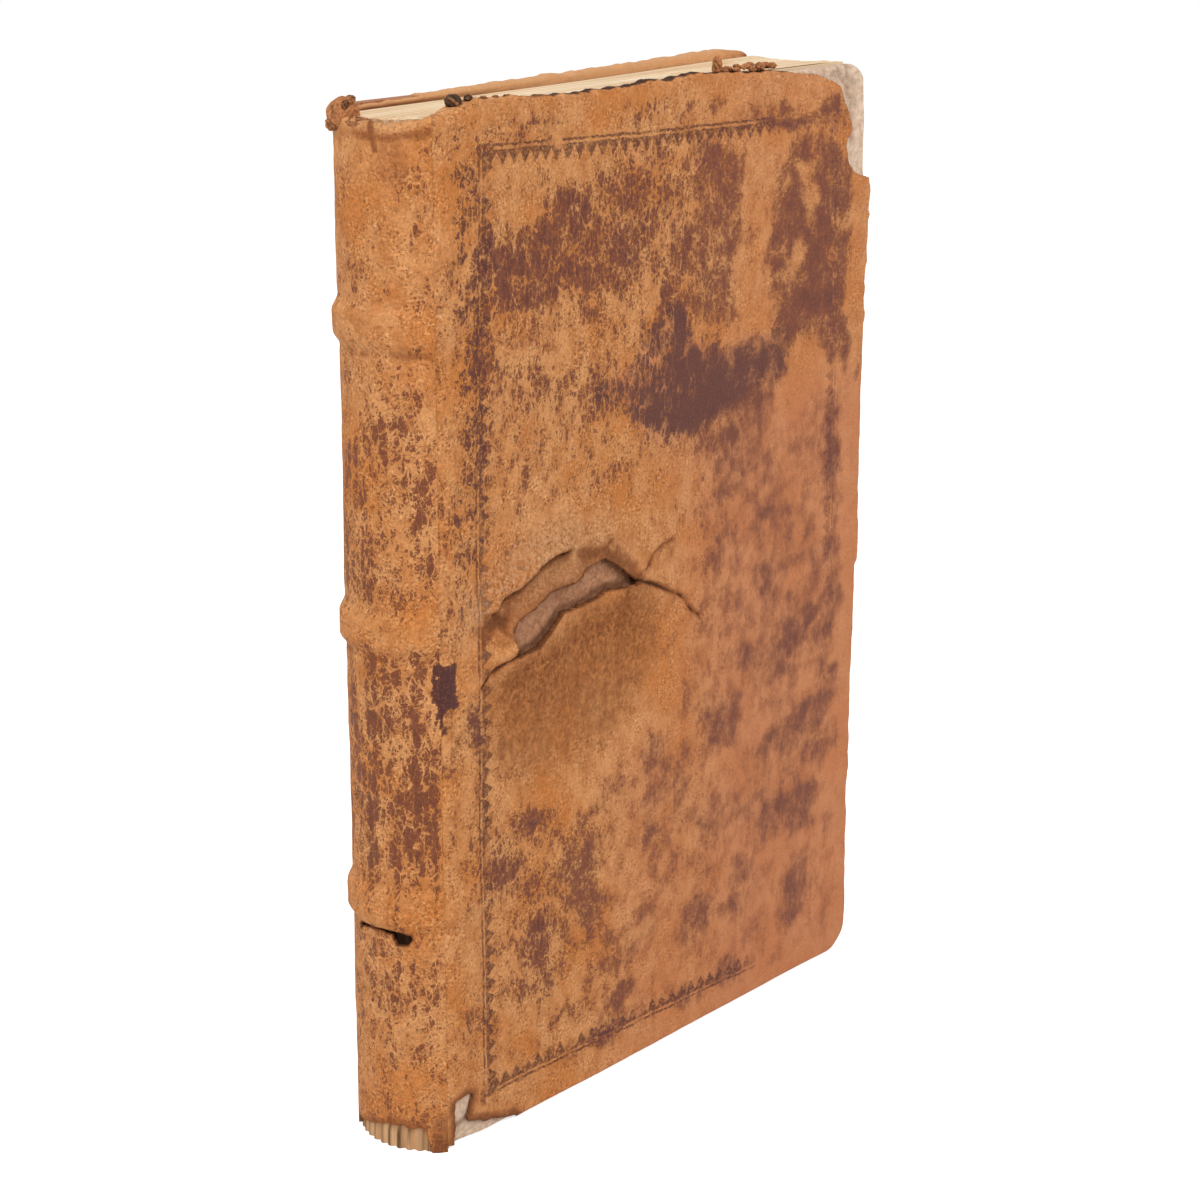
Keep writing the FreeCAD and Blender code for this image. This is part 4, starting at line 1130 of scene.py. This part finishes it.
def spine_values(sheet):
    s, z = sheet.map_s + HALF_ARC, sheet.map_z
    columns = 0.16 * value_noise(s / 1.5, z / 24, 301) + 0.10 * value_noise(s / 0.8, z / 9, 302)
    field = glaze_left(s, z, SPINE_PATCHES, SPINE_SPOTS, 21)
    crest = sum(rise(np.abs(z - band), BAND_HALF_WIDTH, 1.5) for band in BANDS)
    dark = BARE + 0.03 + field + columns * (0.5 + rise(field, 0.05, 0.25)) + 0.07 * clouds(s, z, 6, 321, 3)
    dark = dark - 0.22 * crest
    dirt = np.zeros(len(s))
    # Painted shadow at the feet of the raised bands: below each band, and weaker above it.
    for band in BANDS:
        foot = bell(z - band + BAND_HALF_WIDTH + 0.4, 0.8)
        head_foot_shade = 0.5 * bell(z - band - BAND_HALF_WIDTH - 0.3, 0.7)
        patchy = rise(clouds(s, z, 3, 311, 3), -0.5, 0.6)
        dirt = np.maximum(dirt, 0.50 * np.maximum(foot, head_foot_shade) * patchy)
    # Painted shade in the split of the spine leather and in the wormholes.
    away = patch_distance(s, z, SPINE_SPLIT)
    dirt = np.maximum(dirt, 0.8 * rise(away, 0.5, -0.1))
    for cs, cz, radius in WORMHOLES:
        dirt = np.maximum(dirt, rise(np.hypot(s - cs, (z - cz) * 0.8), radius * 1.4, radius * 0.8))
    drip = line_distance(s, z, [(-2.6, 202.5), (-2.7, 199.4), (-3.3, 197.2)])
    dirt = np.maximum(dirt, 0.62 * rise(drip + 0.2 * clouds(s, z, 1.5, 89, 3), 1.0, 0.2))
    edge = profile(SPINE_HEAD, s)
    rim = rise(z, edge - 1.6, edge - 0.2)
    # Painted shade: a dark line just below the rim at the head.
    dirt = np.maximum(dirt, 0.5 * bell(z - edge + 2.2, 0.9) * rise(s, 8, -2))
    above_tail = z - profile(SPINE_TAIL, s) + 0.8 * clouds(s, z, 3, 91, 3)
    dirt = np.maximum(dirt, 0.5 * rise(above_tail, 2.6, 0.2))
    dirt = np.maximum(dirt, 0.5 * rise(np.hypot((s + 12.6) / 3.0, (z - 3) / 7), 1.2, 0.4))
    dark = dark * (1 - rim)
    stain = joint_mark(s, z)
    dark = np.maximum(dark, 1.15 * stain)
    scrape = rise(np.hypot((s + 6.4) / 3.2, (z - 195) / 4.6), 1.1, 0.8)
    return {
        "dark": dark, "crackle": np.full(len(s), 1.4), "suede": 0.35 * scrape,
        "stain": np.maximum(stain, 0.5 * rise(np.abs(s), 12.5, 14.5) * rise(z, 70, 100) * rise(z, 160, 150)),
        "dirt": dirt, "tooled": 0 * s, "soft": 0.3 * scrape, "bloom": 0 * s, "raw": 0 * s,
        "rubbed": 0.5 * rim * rise(sheet.depth, 0.6, 0.2),
    }


def make_spine_skin():
    half = HALF_ARC - SEAM
    columns = spacing([(-half, 0.42), (half, 0.42)])
    rows = spacing([(0, 0.55), (12, 0.55), (42, 0.40), (50, 0.62), (HEIGHT - 8, 0.5), (HEIGHT, 0.5)])
    share = rows / HEIGHT
    grid_s, grid_v = np.meshgrid(columns, share, indexing="ij")
    tail = profile(SPINE_TAIL, grid_s)
    tail = tail + np.where(tail > 0.5, 0.25 * clouds(grid_s, 0 * grid_s, 1.1, 401, 3), 0)
    head = profile(SPINE_HEAD, grid_s) + 0.22 * clouds(grid_s, 0 * grid_s, 1.3, 403, 3)
    plain_z = grid_v * HEIGHT
    grid_z = plain_z + tail * rise(plain_z, 14, 0) + (head - HEIGHT) * rise(plain_z, HEIGHT - 12, HEIGHT)
    sheet = Sheet()
    numbers = sheet.add_points(grid_s, grid_z, -spine_relief(grid_s, grid_z),
                               map_s=grid_s - HALF_ARC, map_z=grid_z)
    sheet.add_faces(numbers)
    for row, up in ((numbers[:, -1], 1), (numbers[:, 0], -1)):
        previous = row
        lip = [(0.25, 0.30, 0.4), (0.60, 0.42, 0.7), (1.0, 0.25, 1.0), (1.05, -4.0, 1.0)]
        for depth_share, rise_by, rawness in lip:
            lift = rise_by * up
            raw = rawness if up > 0 else 1.0
            current = sheet.add_points(sheet.s[row], np.maximum(sheet.z[row] + lift, 0.0),
                                       sheet.depth[row] + SPINE_SKIN * depth_share, raw * 0.6,
                                       sheet.map_s[row], sheet.map_z[row])
            sheet.add_faces(np.stack([current, previous] if up < 0 else [previous, current], -1))
            previous = current
    sheet.cut(SPINE_SPLIT, SPINE_SKIN * 0.9, SPINE_SKIN, 47, 0.12)
    sheet.faces = sheet.faces[:, ::-1]

    def place(p):
        side = np.where(p.s < 0, -1.0, 1.0)
        return wrap(np.abs(p.s) - HALF_ARC, p.depth, p.z, side)

    thing = dress(sheet, "spine_skin", place, spine_values)
    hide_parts("spine_leather")
    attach(thing, "book_block")
    return thing


# Boards

CORNER_FOLDS = [
    [(129.6, 204), (130.8, 196), (131.6, 188)],
    [(126.0, 203.6), (132.8, 195.5)],
    [(124, 202.5), (133, 200)],
]


def bare_front_relief(s, z):
    """The front board's own face: rough in the tear, crushed at its two bare corners."""
    height = 0.14 * clouds(s, z, 2.2, 501, 4)
    crush = rise(np.hypot(s + 1.0, z + 1.0), 13.0, 2.0)
    height = height - 1.9 * crush * rise(z - 0.55 * s, 6.0, -2.0)
    corner = rise(np.hypot(WIDTH - s, HEIGHT - z), 20.0, 1.0)
    height = height - 0.5 * corner
    for corners in CORNER_FOLDS:
        height = height - 0.35 * bell(line_distance(s, z, corners), 0.7)
    return height


def make_front_board():
    columns = spacing([(BOARD_SETBACK, 0.6), (24, 1.0), (60, 4.0), (96, 1.2), (WIDTH - 10, 0.6),
                       (WIDTH, 0.6)])
    rows = spacing([(0, 0.6), (14, 4.0), (92, 0.8), (116, 4.0), (174, 1.0), (HEIGHT - 10, 0.6),
                    (HEIGHT, 0.6)])
    edges = (BOARD_HEAD, BOARD_FORE, BOARD_TAIL)
    sheet = plate(columns, rows, edges, (COVER_SKIN, TURN_IN_DEPTH), (TURN_IN_WIDTH,), bare_front_relief,
                  lambda s: TURN_IN_DEPTH - COVER_SKIN + 0 * s)
    sheet.tidy()
    s, z = sheet.s, sheet.z
    head_corner = rise(np.hypot(WIDTH - s, HEIGHT - z), 40, 30)
    tail_corner = rise(np.hypot(s, z), 26, 20)
    in_tear = rise(patch_distance(s, z, TEAR), 1.2, -0.4)
    # Painted shade: darker along the crease at the tail corner, the folds at the head corner, and the edge
    # of the tear where the leather stands over the board.
    crease_shade = bell(line_distance(s, z, [(0.5, 4.6), (4.4, 5.4), (19, 0.5)]), 0.9)
    fold_shade = np.zeros(len(s))
    for corners in CORNER_FOLDS:
        fold_shade = np.maximum(fold_shade, bell(line_distance(s, z, corners), 0.8))
    torn = patch_distance(s, z, TEAR)
    rim = 0.85 * rise(np.abs(torn + 0.3) + 0.3 * clouds(s, z, 2, 505, 3), 1.1, 0.2)
    values = {
        "pale": np.maximum(head_corner, tail_corner) * (1 - in_tear),
        "dirt": np.maximum(np.maximum(0.7 * crease_shade, 0.45 * fold_shade), rim),
    }
    points = wrap(sheet.s, sheet.depth, sheet.z, -1)
    thing = make_object("front_board_bare", points, sheet.faces, MATERIALS["pasteboard"], values)
    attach(thing, "front_cover")
    return thing


def repaint(node, material):
    """Gives a carried-over piece its material."""
    slots = frame["nodes"][node].data.materials
    slots.clear()
    slots.append(MATERIALS[material])


# Leaves

LEAF_SPINE_RADIUS = SPINE_RADIUS - SPINE_SKIN
FORE_HOLLOW = 3.0
FRONT_HOLLOW = 1.6
SHOULDER = 0.15
SECTIONS = 12


def leaf_line(t, x):
    """Where a leaf lies across the block; t is -1 at the front leaf and 1 at the rear one."""
    share = x / LEAF_FORE
    half = BLOCK_HALF + LEAF_FORE * math.tan(LEAN) * share
    front = -half + FRONT_HOLLOW * 4 * share * (1 - share)
    return front + (half - front) * (t + 1) / 2


def leaf_jag(t, along, seed, size):
    """Uneven edges of the leaves, gathering by gathering and leaf by leaf."""
    coarse = value_noise((t + 1) * SECTIONS / 2, along / 60, seed)
    fine = value_noise((t + 1) * 62, along / 45, seed + 1)
    return size * (0.7 * coarse + 0.5 * fine)


def make_leaves():
    points, faces, leaf, dust_and_shade = [], [], [], []

    def add(xs, ys, zs, t, grime_and_shade):
        """Adds a sheet of points whose faces look outwards."""
        first = sum(len(p) for p in points)
        shape = xs.shape
        ys, zs, t, grime_and_shade = (np.broadcast_to(a, shape) for a in (ys, zs, t, grime_and_shade))
        points.append(np.stack([xs.ravel(), ys.ravel(), zs.ravel()], -1))
        leaf.append((t * BLOCK_HALF).ravel())
        dust_and_shade.append(np.array(grime_and_shade, float).ravel())
        quads = grid_quads(np.arange(xs.size).reshape(shape))
        corner = points[-1][quads]
        normal = np.cross(corner[:, 2] - corner[:, 0], corner[:, 3] - corner[:, 1])
        outward = corner.mean(1) - np.array([WIDTH / 2, 0, HEIGHT / 2])
        faces.append((quads if (normal * outward).sum() > 0 else quads[:, ::-1]) + first)

    stack = np.linspace(-1, 1, 241)
    runs = np.concatenate([np.linspace(0, 1, 7)[:-1], 1 + np.linspace(0, 1, 60)])
    t, k = np.meshgrid(stack, runs, indexing="ij")
    swing = math.asin((HALF_JOINT - 1.38) / LEAF_SPINE_RADIUS)
    fold_depth = 0.55 * np.abs(np.cos(np.pi * SECTIONS / 2 * (t + 1))) ** 3
    arc_x = SPINE_CENTRE - (LEAF_SPINE_RADIUS - fold_depth) * np.cos(t * swing)
    arc_y = (LEAF_SPINE_RADIUS - fold_depth) * np.sin(t * swing)
    fore = LEAF_FORE - FORE_HOLLOW * (1 - t * t)
    inner_x = np.full_like(t, -SHOULDER)
    plan_x = np.where(k < 1, arc_x + (inner_x - arc_x) * k, inner_x + (fore - inner_x) * (k - 1))
    inner_y = leaf_line(t, np.zeros_like(t))
    plan_y = np.where(k < 1, arc_y + (inner_y - arc_y) * k ** 3, leaf_line(t, np.maximum(plan_x, 0)))
    head_z = LEAF_HEAD + LEAF_HEAD_SLOPE * plan_x + leaf_jag(t, plan_x, 601, 0.22)
    tail_z = np.abs(leaf_jag(t, plan_x, 611, 0.10))
    edge_t = 0.25 * rise(np.abs(t), 0.985, 1.0)
    # Painted shade on the head of the leaves next to the front board, where the board stands off from them.
    shade_by_front_board = rise(t + 0.10 * value_noise(plan_x / 7, plan_x / 31, 641), -0.58, -0.76)
    narrow = 0.8 * rise(t, -0.86, -0.93) * rise(plan_x, 130, 124)
    shade_by_front_board = shade_by_front_board * rise(plan_x, 20, 32) * (rise(plan_x, 112, 98) + narrow)
    add(plan_x, plan_y, head_z, t, np.clip(edge_t + 0.04 + 0.95 * shade_by_front_board, 0, 1))
    add(plan_x[:, ::-1], plan_y[:, ::-1], tail_z[:, ::-1], t, 0.22)
    heights = np.linspace(0, 1, 70)

    def wall(x_line, y_line, low, high, t_line, push, grime_and_shade, flip=False):
        """An upright side over a line of the block's outline."""
        a, b = np.meshgrid(np.arange(len(x_line)), heights, indexing="ij")
        z = low[a] + (high[a] - low[a]) * b
        x = x_line[a] + push(t_line[a], z)
        order = slice(None, None, -1) if flip else slice(None)
        add(x[order], y_line[a][order], z[order], t_line[a][order], grime_and_shade(t_line[a], z)[order])

    def still(line_t, z):
        return 0 * z

    def swollen(line_t, z):
        return -0.9 * rise(z, 9, 2) * rise(np.abs(line_t), 1.0, 0.8)

    def uneven_fore(line_t, z):
        return leaf_jag(line_t, z, 621, 0.25) * rise(z, 0, 3) * rise(z, 203, 200)

    def dusty(line_t, z):
        return 0.2 + 0 * z

    def clean(line_t, z):
        return 0.06 + 0 * z

    def spine_grime_and_shade(line_t, z):
        # Painted shade in the folds between the sections and behind the split in the spine leather; the rest
        # is grime.
        fold_shade = rise(np.cos(np.pi * SECTIONS * (line_t + 1)), 0.2, -0.9)
        fold_shade_depth = 0.28 + 0.14 * value_noise((line_t + 1) * 6, z / 5, 651)
        patches = rise(value_noise((line_t + 1) * 17, z / 9, 631), -0.4, 0.7)
        split_shade = rise(z, 40, 43) * rise(z, 52, 49)
        grime_and_shade = 0.22 + 0.12 * rise(z, 12, 5) + 0.3 * rise(z, 14, 1) * patches
        return np.clip(grime_and_shade + fold_shade_depth * fold_shade + split_shade, 0, 1)

    front_t, rear_t = np.full(len(runs), -1.0), np.full(len(runs), 1.0)
    wall(plan_x[:, -1], plan_y[:, -1], tail_z[:, -1], head_z[:, -1], stack, uneven_fore, dusty)
    wall(plan_x[:, 0], plan_y[:, 0], tail_z[:, 0], head_z[:, 0], stack, swollen, spine_grime_and_shade, True)
    wall(plan_x[0], plan_y[0], tail_z[0], head_z[0], front_t, still, clean)
    wall(plan_x[-1], plan_y[-1], tail_z[-1], head_z[-1], rear_t, still, clean, True)
    thing = make_object("leaves", np.concatenate(points), np.concatenate(faces), MATERIALS["leaves"],
                        {"leaf": np.concatenate(leaf), "dust_and_shade": np.concatenate(dust_and_shade)})
    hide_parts("text_block")
    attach(thing, "book_block")
    return thing


# Lining papers on the inside of the covers

def make_lining(side):
    name = "front" if side < 0 else "rear"
    margin = 4.0
    s_lines = np.concatenate([np.linspace(-0.1, 4, 12)[:-1], np.linspace(4, WIDTH - margin, 60)])
    z_lines = np.linspace(margin, HEIGHT - margin, 80)
    s, z = np.meshgrid(s_lines, z_lines, indexing="ij")
    wave = 0.05 * clouds(s, z, 26, 700 + side, 3) * rise(s, 0, 6)
    sheet = Sheet()
    near = sheet.add_points(s, z, COVER_DEPTH + LINING + 0.04 + wave * 0.5)
    far = sheet.add_points(s, z, COVER_DEPTH + 0.02 + wave * 0.5)
    sheet.add_faces(near)
    sheet.add_faces(far[::-1])
    for line in ([near[:, 0], far[:, 0]], [far[:, -1], near[:, -1]], [far[0], near[0]], [near[-1], far[-1]]):
        sheet.add_faces(np.stack(line, -1))
    points = wrap(sheet.s, sheet.depth, sheet.z, side)
    flat_x = sheet.s * math.cos(LEAN) + sheet.depth * math.sin(LEAN)
    flat_y = side * (HALF_JOINT + sheet.s * math.sin(LEAN) - sheet.depth * math.cos(LEAN))
    points[:, 0], points[:, 1] = flat_x, flat_y
    faces = sheet.faces if side < 0 else sheet.faces[:, ::-1]
    thing = make_object(f"{name}_lining", points, faces, MATERIALS["lining_paper"])
    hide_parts(f"{name}_pastedown")
    cross_joint(thing)
    return thing


def cross_joint(thing):
    """Bakes a piece's placement into its mesh."""
    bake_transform(thing)


# Scraps of leather and glue at the head

def lump(centre, radii, seed, shade, rough=0.22, rings=36):
    """A rough rolled scrap: an uneven ellipsoid."""
    turns = np.linspace(0, 2 * math.pi, rings * 2 + 1)[:-1]
    around, up = np.meshgrid(turns, np.linspace(0, math.pi, rings), indexing="ij")
    x = np.sin(up) * np.cos(around)
    y = np.sin(up) * np.sin(around)
    z = np.cos(up)
    swell = 1 + rough * (value_noise(3 + 2.2 * x + 1.7 * z, 5 + 2.2 * y - 1.3 * z, seed)
                         + 0.5 * value_noise(9 + 5 * x - 3 * z, 5 + 5 * y + 4 * z, seed + 1)
                         + 0.25 * value_noise(9 + 12 * x + 7 * z, 5 + 12 * y - 9 * z, seed + 2))
    points = np.stack([centre[0] + radii[0] * x * swell, centre[1] + radii[1] * y * swell,
                       centre[2] + radii[2] * z * swell], -1).reshape(-1, 3)
    numbers = np.arange(x.size).reshape(x.shape)
    closed = np.concatenate([numbers, numbers[:1]])
    quads = np.stack([closed[:-1, :-1], closed[:-1, 1:], closed[1:, 1:], closed[1:, :-1]], -1).reshape(-1, 4)
    tone = np.full(len(points), float(shade))
    # Darker where the surface dips in: painted shade in the dents of the scrap.
    tone = np.clip(tone + 0.5 * (1 - swell.ravel()) / max(rough, 0.01), 0, 1)
    return points, quads, tone


def join_lumps(name, lumps, body):
    points, faces, tones, first = [], [], [], 0
    for lump_points, lump_faces, tone in lumps:
        points.append(lump_points)
        faces.append(lump_faces + first)
        tones.append(tone)
        first += len(lump_points)
    thing = make_object(name, np.concatenate(points), np.concatenate(faces), MATERIALS["crumb"],
                        {"shade": np.concatenate(tones)})
    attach(thing, body)
    return thing


def on_front(s, z, depth):
    """A place on the front cover in the frame."""
    return [float(v) for v in wrap(np.array(s), np.array(depth), np.array(z), -1)]


def make_scraps():
    headcap = [
        lump((-4.6, 6.2, 203.0), (2.6, 3.2, 2.8), 801, 0.0, 0.09),
        lump((-6.0, 7.4, 201.2), (1.0, 1.6, 1.3), 803, 0.3, 0.15),
        lump((-6.2, 0.6, 201.7), (1.2, 3.2, 1.1), 805, 0.5, 0.15),
        lump((-6.0, 4.3, 204.6), (0.7, 0.6, 1.0), 807, 1.0, 0.1),
        lump((-5.2, 3.7, 205.7), (0.9, 0.9, 0.7), 809, 0.6, 0.2),
    ]
    join_lumps("headcap_scrap", headcap, "book_block")
    rng = np.random.default_rng(77)
    bits = [lump(on_front(6.0, HEIGHT + 0.3, 1.9), (1.7, 1.5, 1.35), 811, 1.0, 0.12)]
    bits.append(lump(on_front(9.9, HEIGHT + 0.6, 1.9), (0.9, 0.8, 0.7), 812, 1.0, 0.15))
    bits.append(lump(on_front(84.6, HEIGHT + 1.7, 2.2), (0.8, 1.0, 1.7), 813, 0.25, 0.25))
    for number in range(40):
        s = 83 + 20 * rng.random()
        size = 0.3 + 0.55 * rng.random()
        place = on_front(s, HEIGHT + 0.3 + 0.9 * rng.random(), 1.2 + 2.0 * rng.random())
        shade = 0.3 * rng.random()
        bits.append(lump(place, (size * 1.3, size, size * 0.8), 820 + number, shade, 0.3, 12))
    for number in range(10):
        s = 6 + 20 * rng.random()
        size = 0.3 + 0.4 * rng.random()
        place = on_front(s, HEIGHT - 0.2 + 0.5 * rng.random(), 1.5 + 1.8 * rng.random())
        bits.append(lump(place, (size * 1.4, size, size * 0.7), 860 + number, 0.5, 0.35, 10))
    join_lumps("head_crumbs", bits, "front_cover")


# Stage

def make_stage():
    """Pale floor, soft lamps, and a background that is white to the camera."""
    half = 3.0
    mesh = bpy.data.meshes.new("floor")
    corners = [(-half, -half, 0), (half, -half, 0), (half, half, 0), (-half, half, 0)]
    mesh.from_pydata(corners, [], [(0, 1, 2, 3)])
    floor = bpy.data.objects.new("floor", mesh)
    bpy.context.scene.collection.objects.link(floor)
    sh = Shader("floor_white")
    path = sh.add("ShaderNodeLightPath")
    seen = sh.math("MAXIMUM", path.outputs["Is Camera Ray"], path.outputs["Is Glossy Ray"])
    matte = sh.add("ShaderNodeBsdfDiffuse", {"Color": (0.82, 0.82, 0.82, 1)})
    bright = sh.add("ShaderNodeEmission", {"Color": (1, 1, 1, 1), "Strength": sh.times(seen, 0.65)})
    both = sh.add("ShaderNodeAddShader", {0: matte.outputs[0], 1: bright.outputs[0]})
    output = sh.add("ShaderNodeOutputMaterial")
    sh.tree.links.new(both.outputs[0], output.inputs[0])
    mesh.materials.append(sh.material)

    world = bpy.data.worlds.new("studio")
    bpy.context.scene.world = world
    world.use_nodes = True
    tree = world.node_tree
    tree.nodes.clear()
    path = tree.nodes.new("ShaderNodeLightPath")
    seen = tree.nodes.new("ShaderNodeMath")
    seen.operation = "MAXIMUM"
    tree.links.new(path.outputs["Is Camera Ray"], seen.inputs[0])
    tree.links.new(path.outputs["Is Glossy Ray"], seen.inputs[1])
    strength = tree.nodes.new("ShaderNodeMapRange")
    strength.inputs["To Min"].default_value = 0.44
    strength.inputs["To Max"].default_value = 1.0
    tree.links.new(seen.outputs[0], strength.inputs["Value"])
    background = tree.nodes.new("ShaderNodeBackground")
    background.inputs["Color"].default_value = (1, 1, 1, 1)
    tree.links.new(strength.outputs[0], background.inputs["Strength"])
    output = tree.nodes.new("ShaderNodeOutputWorld")
    tree.links.new(background.outputs[0], output.inputs["Surface"])

    for name, place, width, watts in (
        ("key", (-0.70, -0.60, 1.05), 0.7, 9.0),
        ("left", (-1.15, 0.10, 0.45), 0.8, 3.3),
        ("fill", (0.45, -1.05, 0.55), 0.9, 3.6),
        ("back", (0.2, 0.9, 0.9), 0.9, 4.0),
    ):
        lamp = bpy.data.lights.new(name, "AREA")
        lamp.shape = "SQUARE"
        lamp.size = width
        lamp.energy = watts
        thing = bpy.data.objects.new(name, lamp)
        thing.location = place
        aim = Vector((0.05, 0.0, 0.10)) - Vector(place)
        thing.rotation_euler = aim.to_track_quat("-Z", "Y").to_euler()
        bpy.context.scene.collection.objects.link(thing)


CAMERA_PLACE = (-0.363916, -0.334803, 0.251897)
CAMERA_AIM = (0.062920, 0.0, 0.097470)
CAMERA_ROLL = math.radians(0.03)
CAMERA_LENS = 80.924


def make_camera():
    data = bpy.data.cameras.new("camera")
    data.sensor_width = 36.0
    data.lens = CAMERA_LENS
    camera = bpy.data.objects.new("camera", data)
    aim = (Vector(CAMERA_AIM) - Vector(CAMERA_PLACE)).to_track_quat("-Z", "Y").to_matrix().to_4x4()
    camera.matrix_world = Matrix.Translation(CAMERA_PLACE) @ aim @ Matrix.Rotation(CAMERA_ROLL, 4, "Z")
    bpy.context.scene.collection.objects.link(camera)
    bpy.context.scene.camera = camera
    bpy.context.scene.view_settings.view_transform = "Standard"


make_camera()
make_stage()
front_skin = make_front_skin()
cross_joint(front_skin)
rear_skin = make_rear_skin()
cross_joint(rear_skin)
make_spine_skin()
make_front_board()
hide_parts("front_board")
make_leaves()
make_lining(-1)
make_lining(1)
make_scraps()
repaint("rear_board", "pasteboard")
for band in ("lower", "middle", "upper"):
    repaint(f"{band}_sewing_support", "hemp")
    repaint(f"front_{band}_slip", "hemp")
    repaint(f"rear_{band}_slip", "hemp")
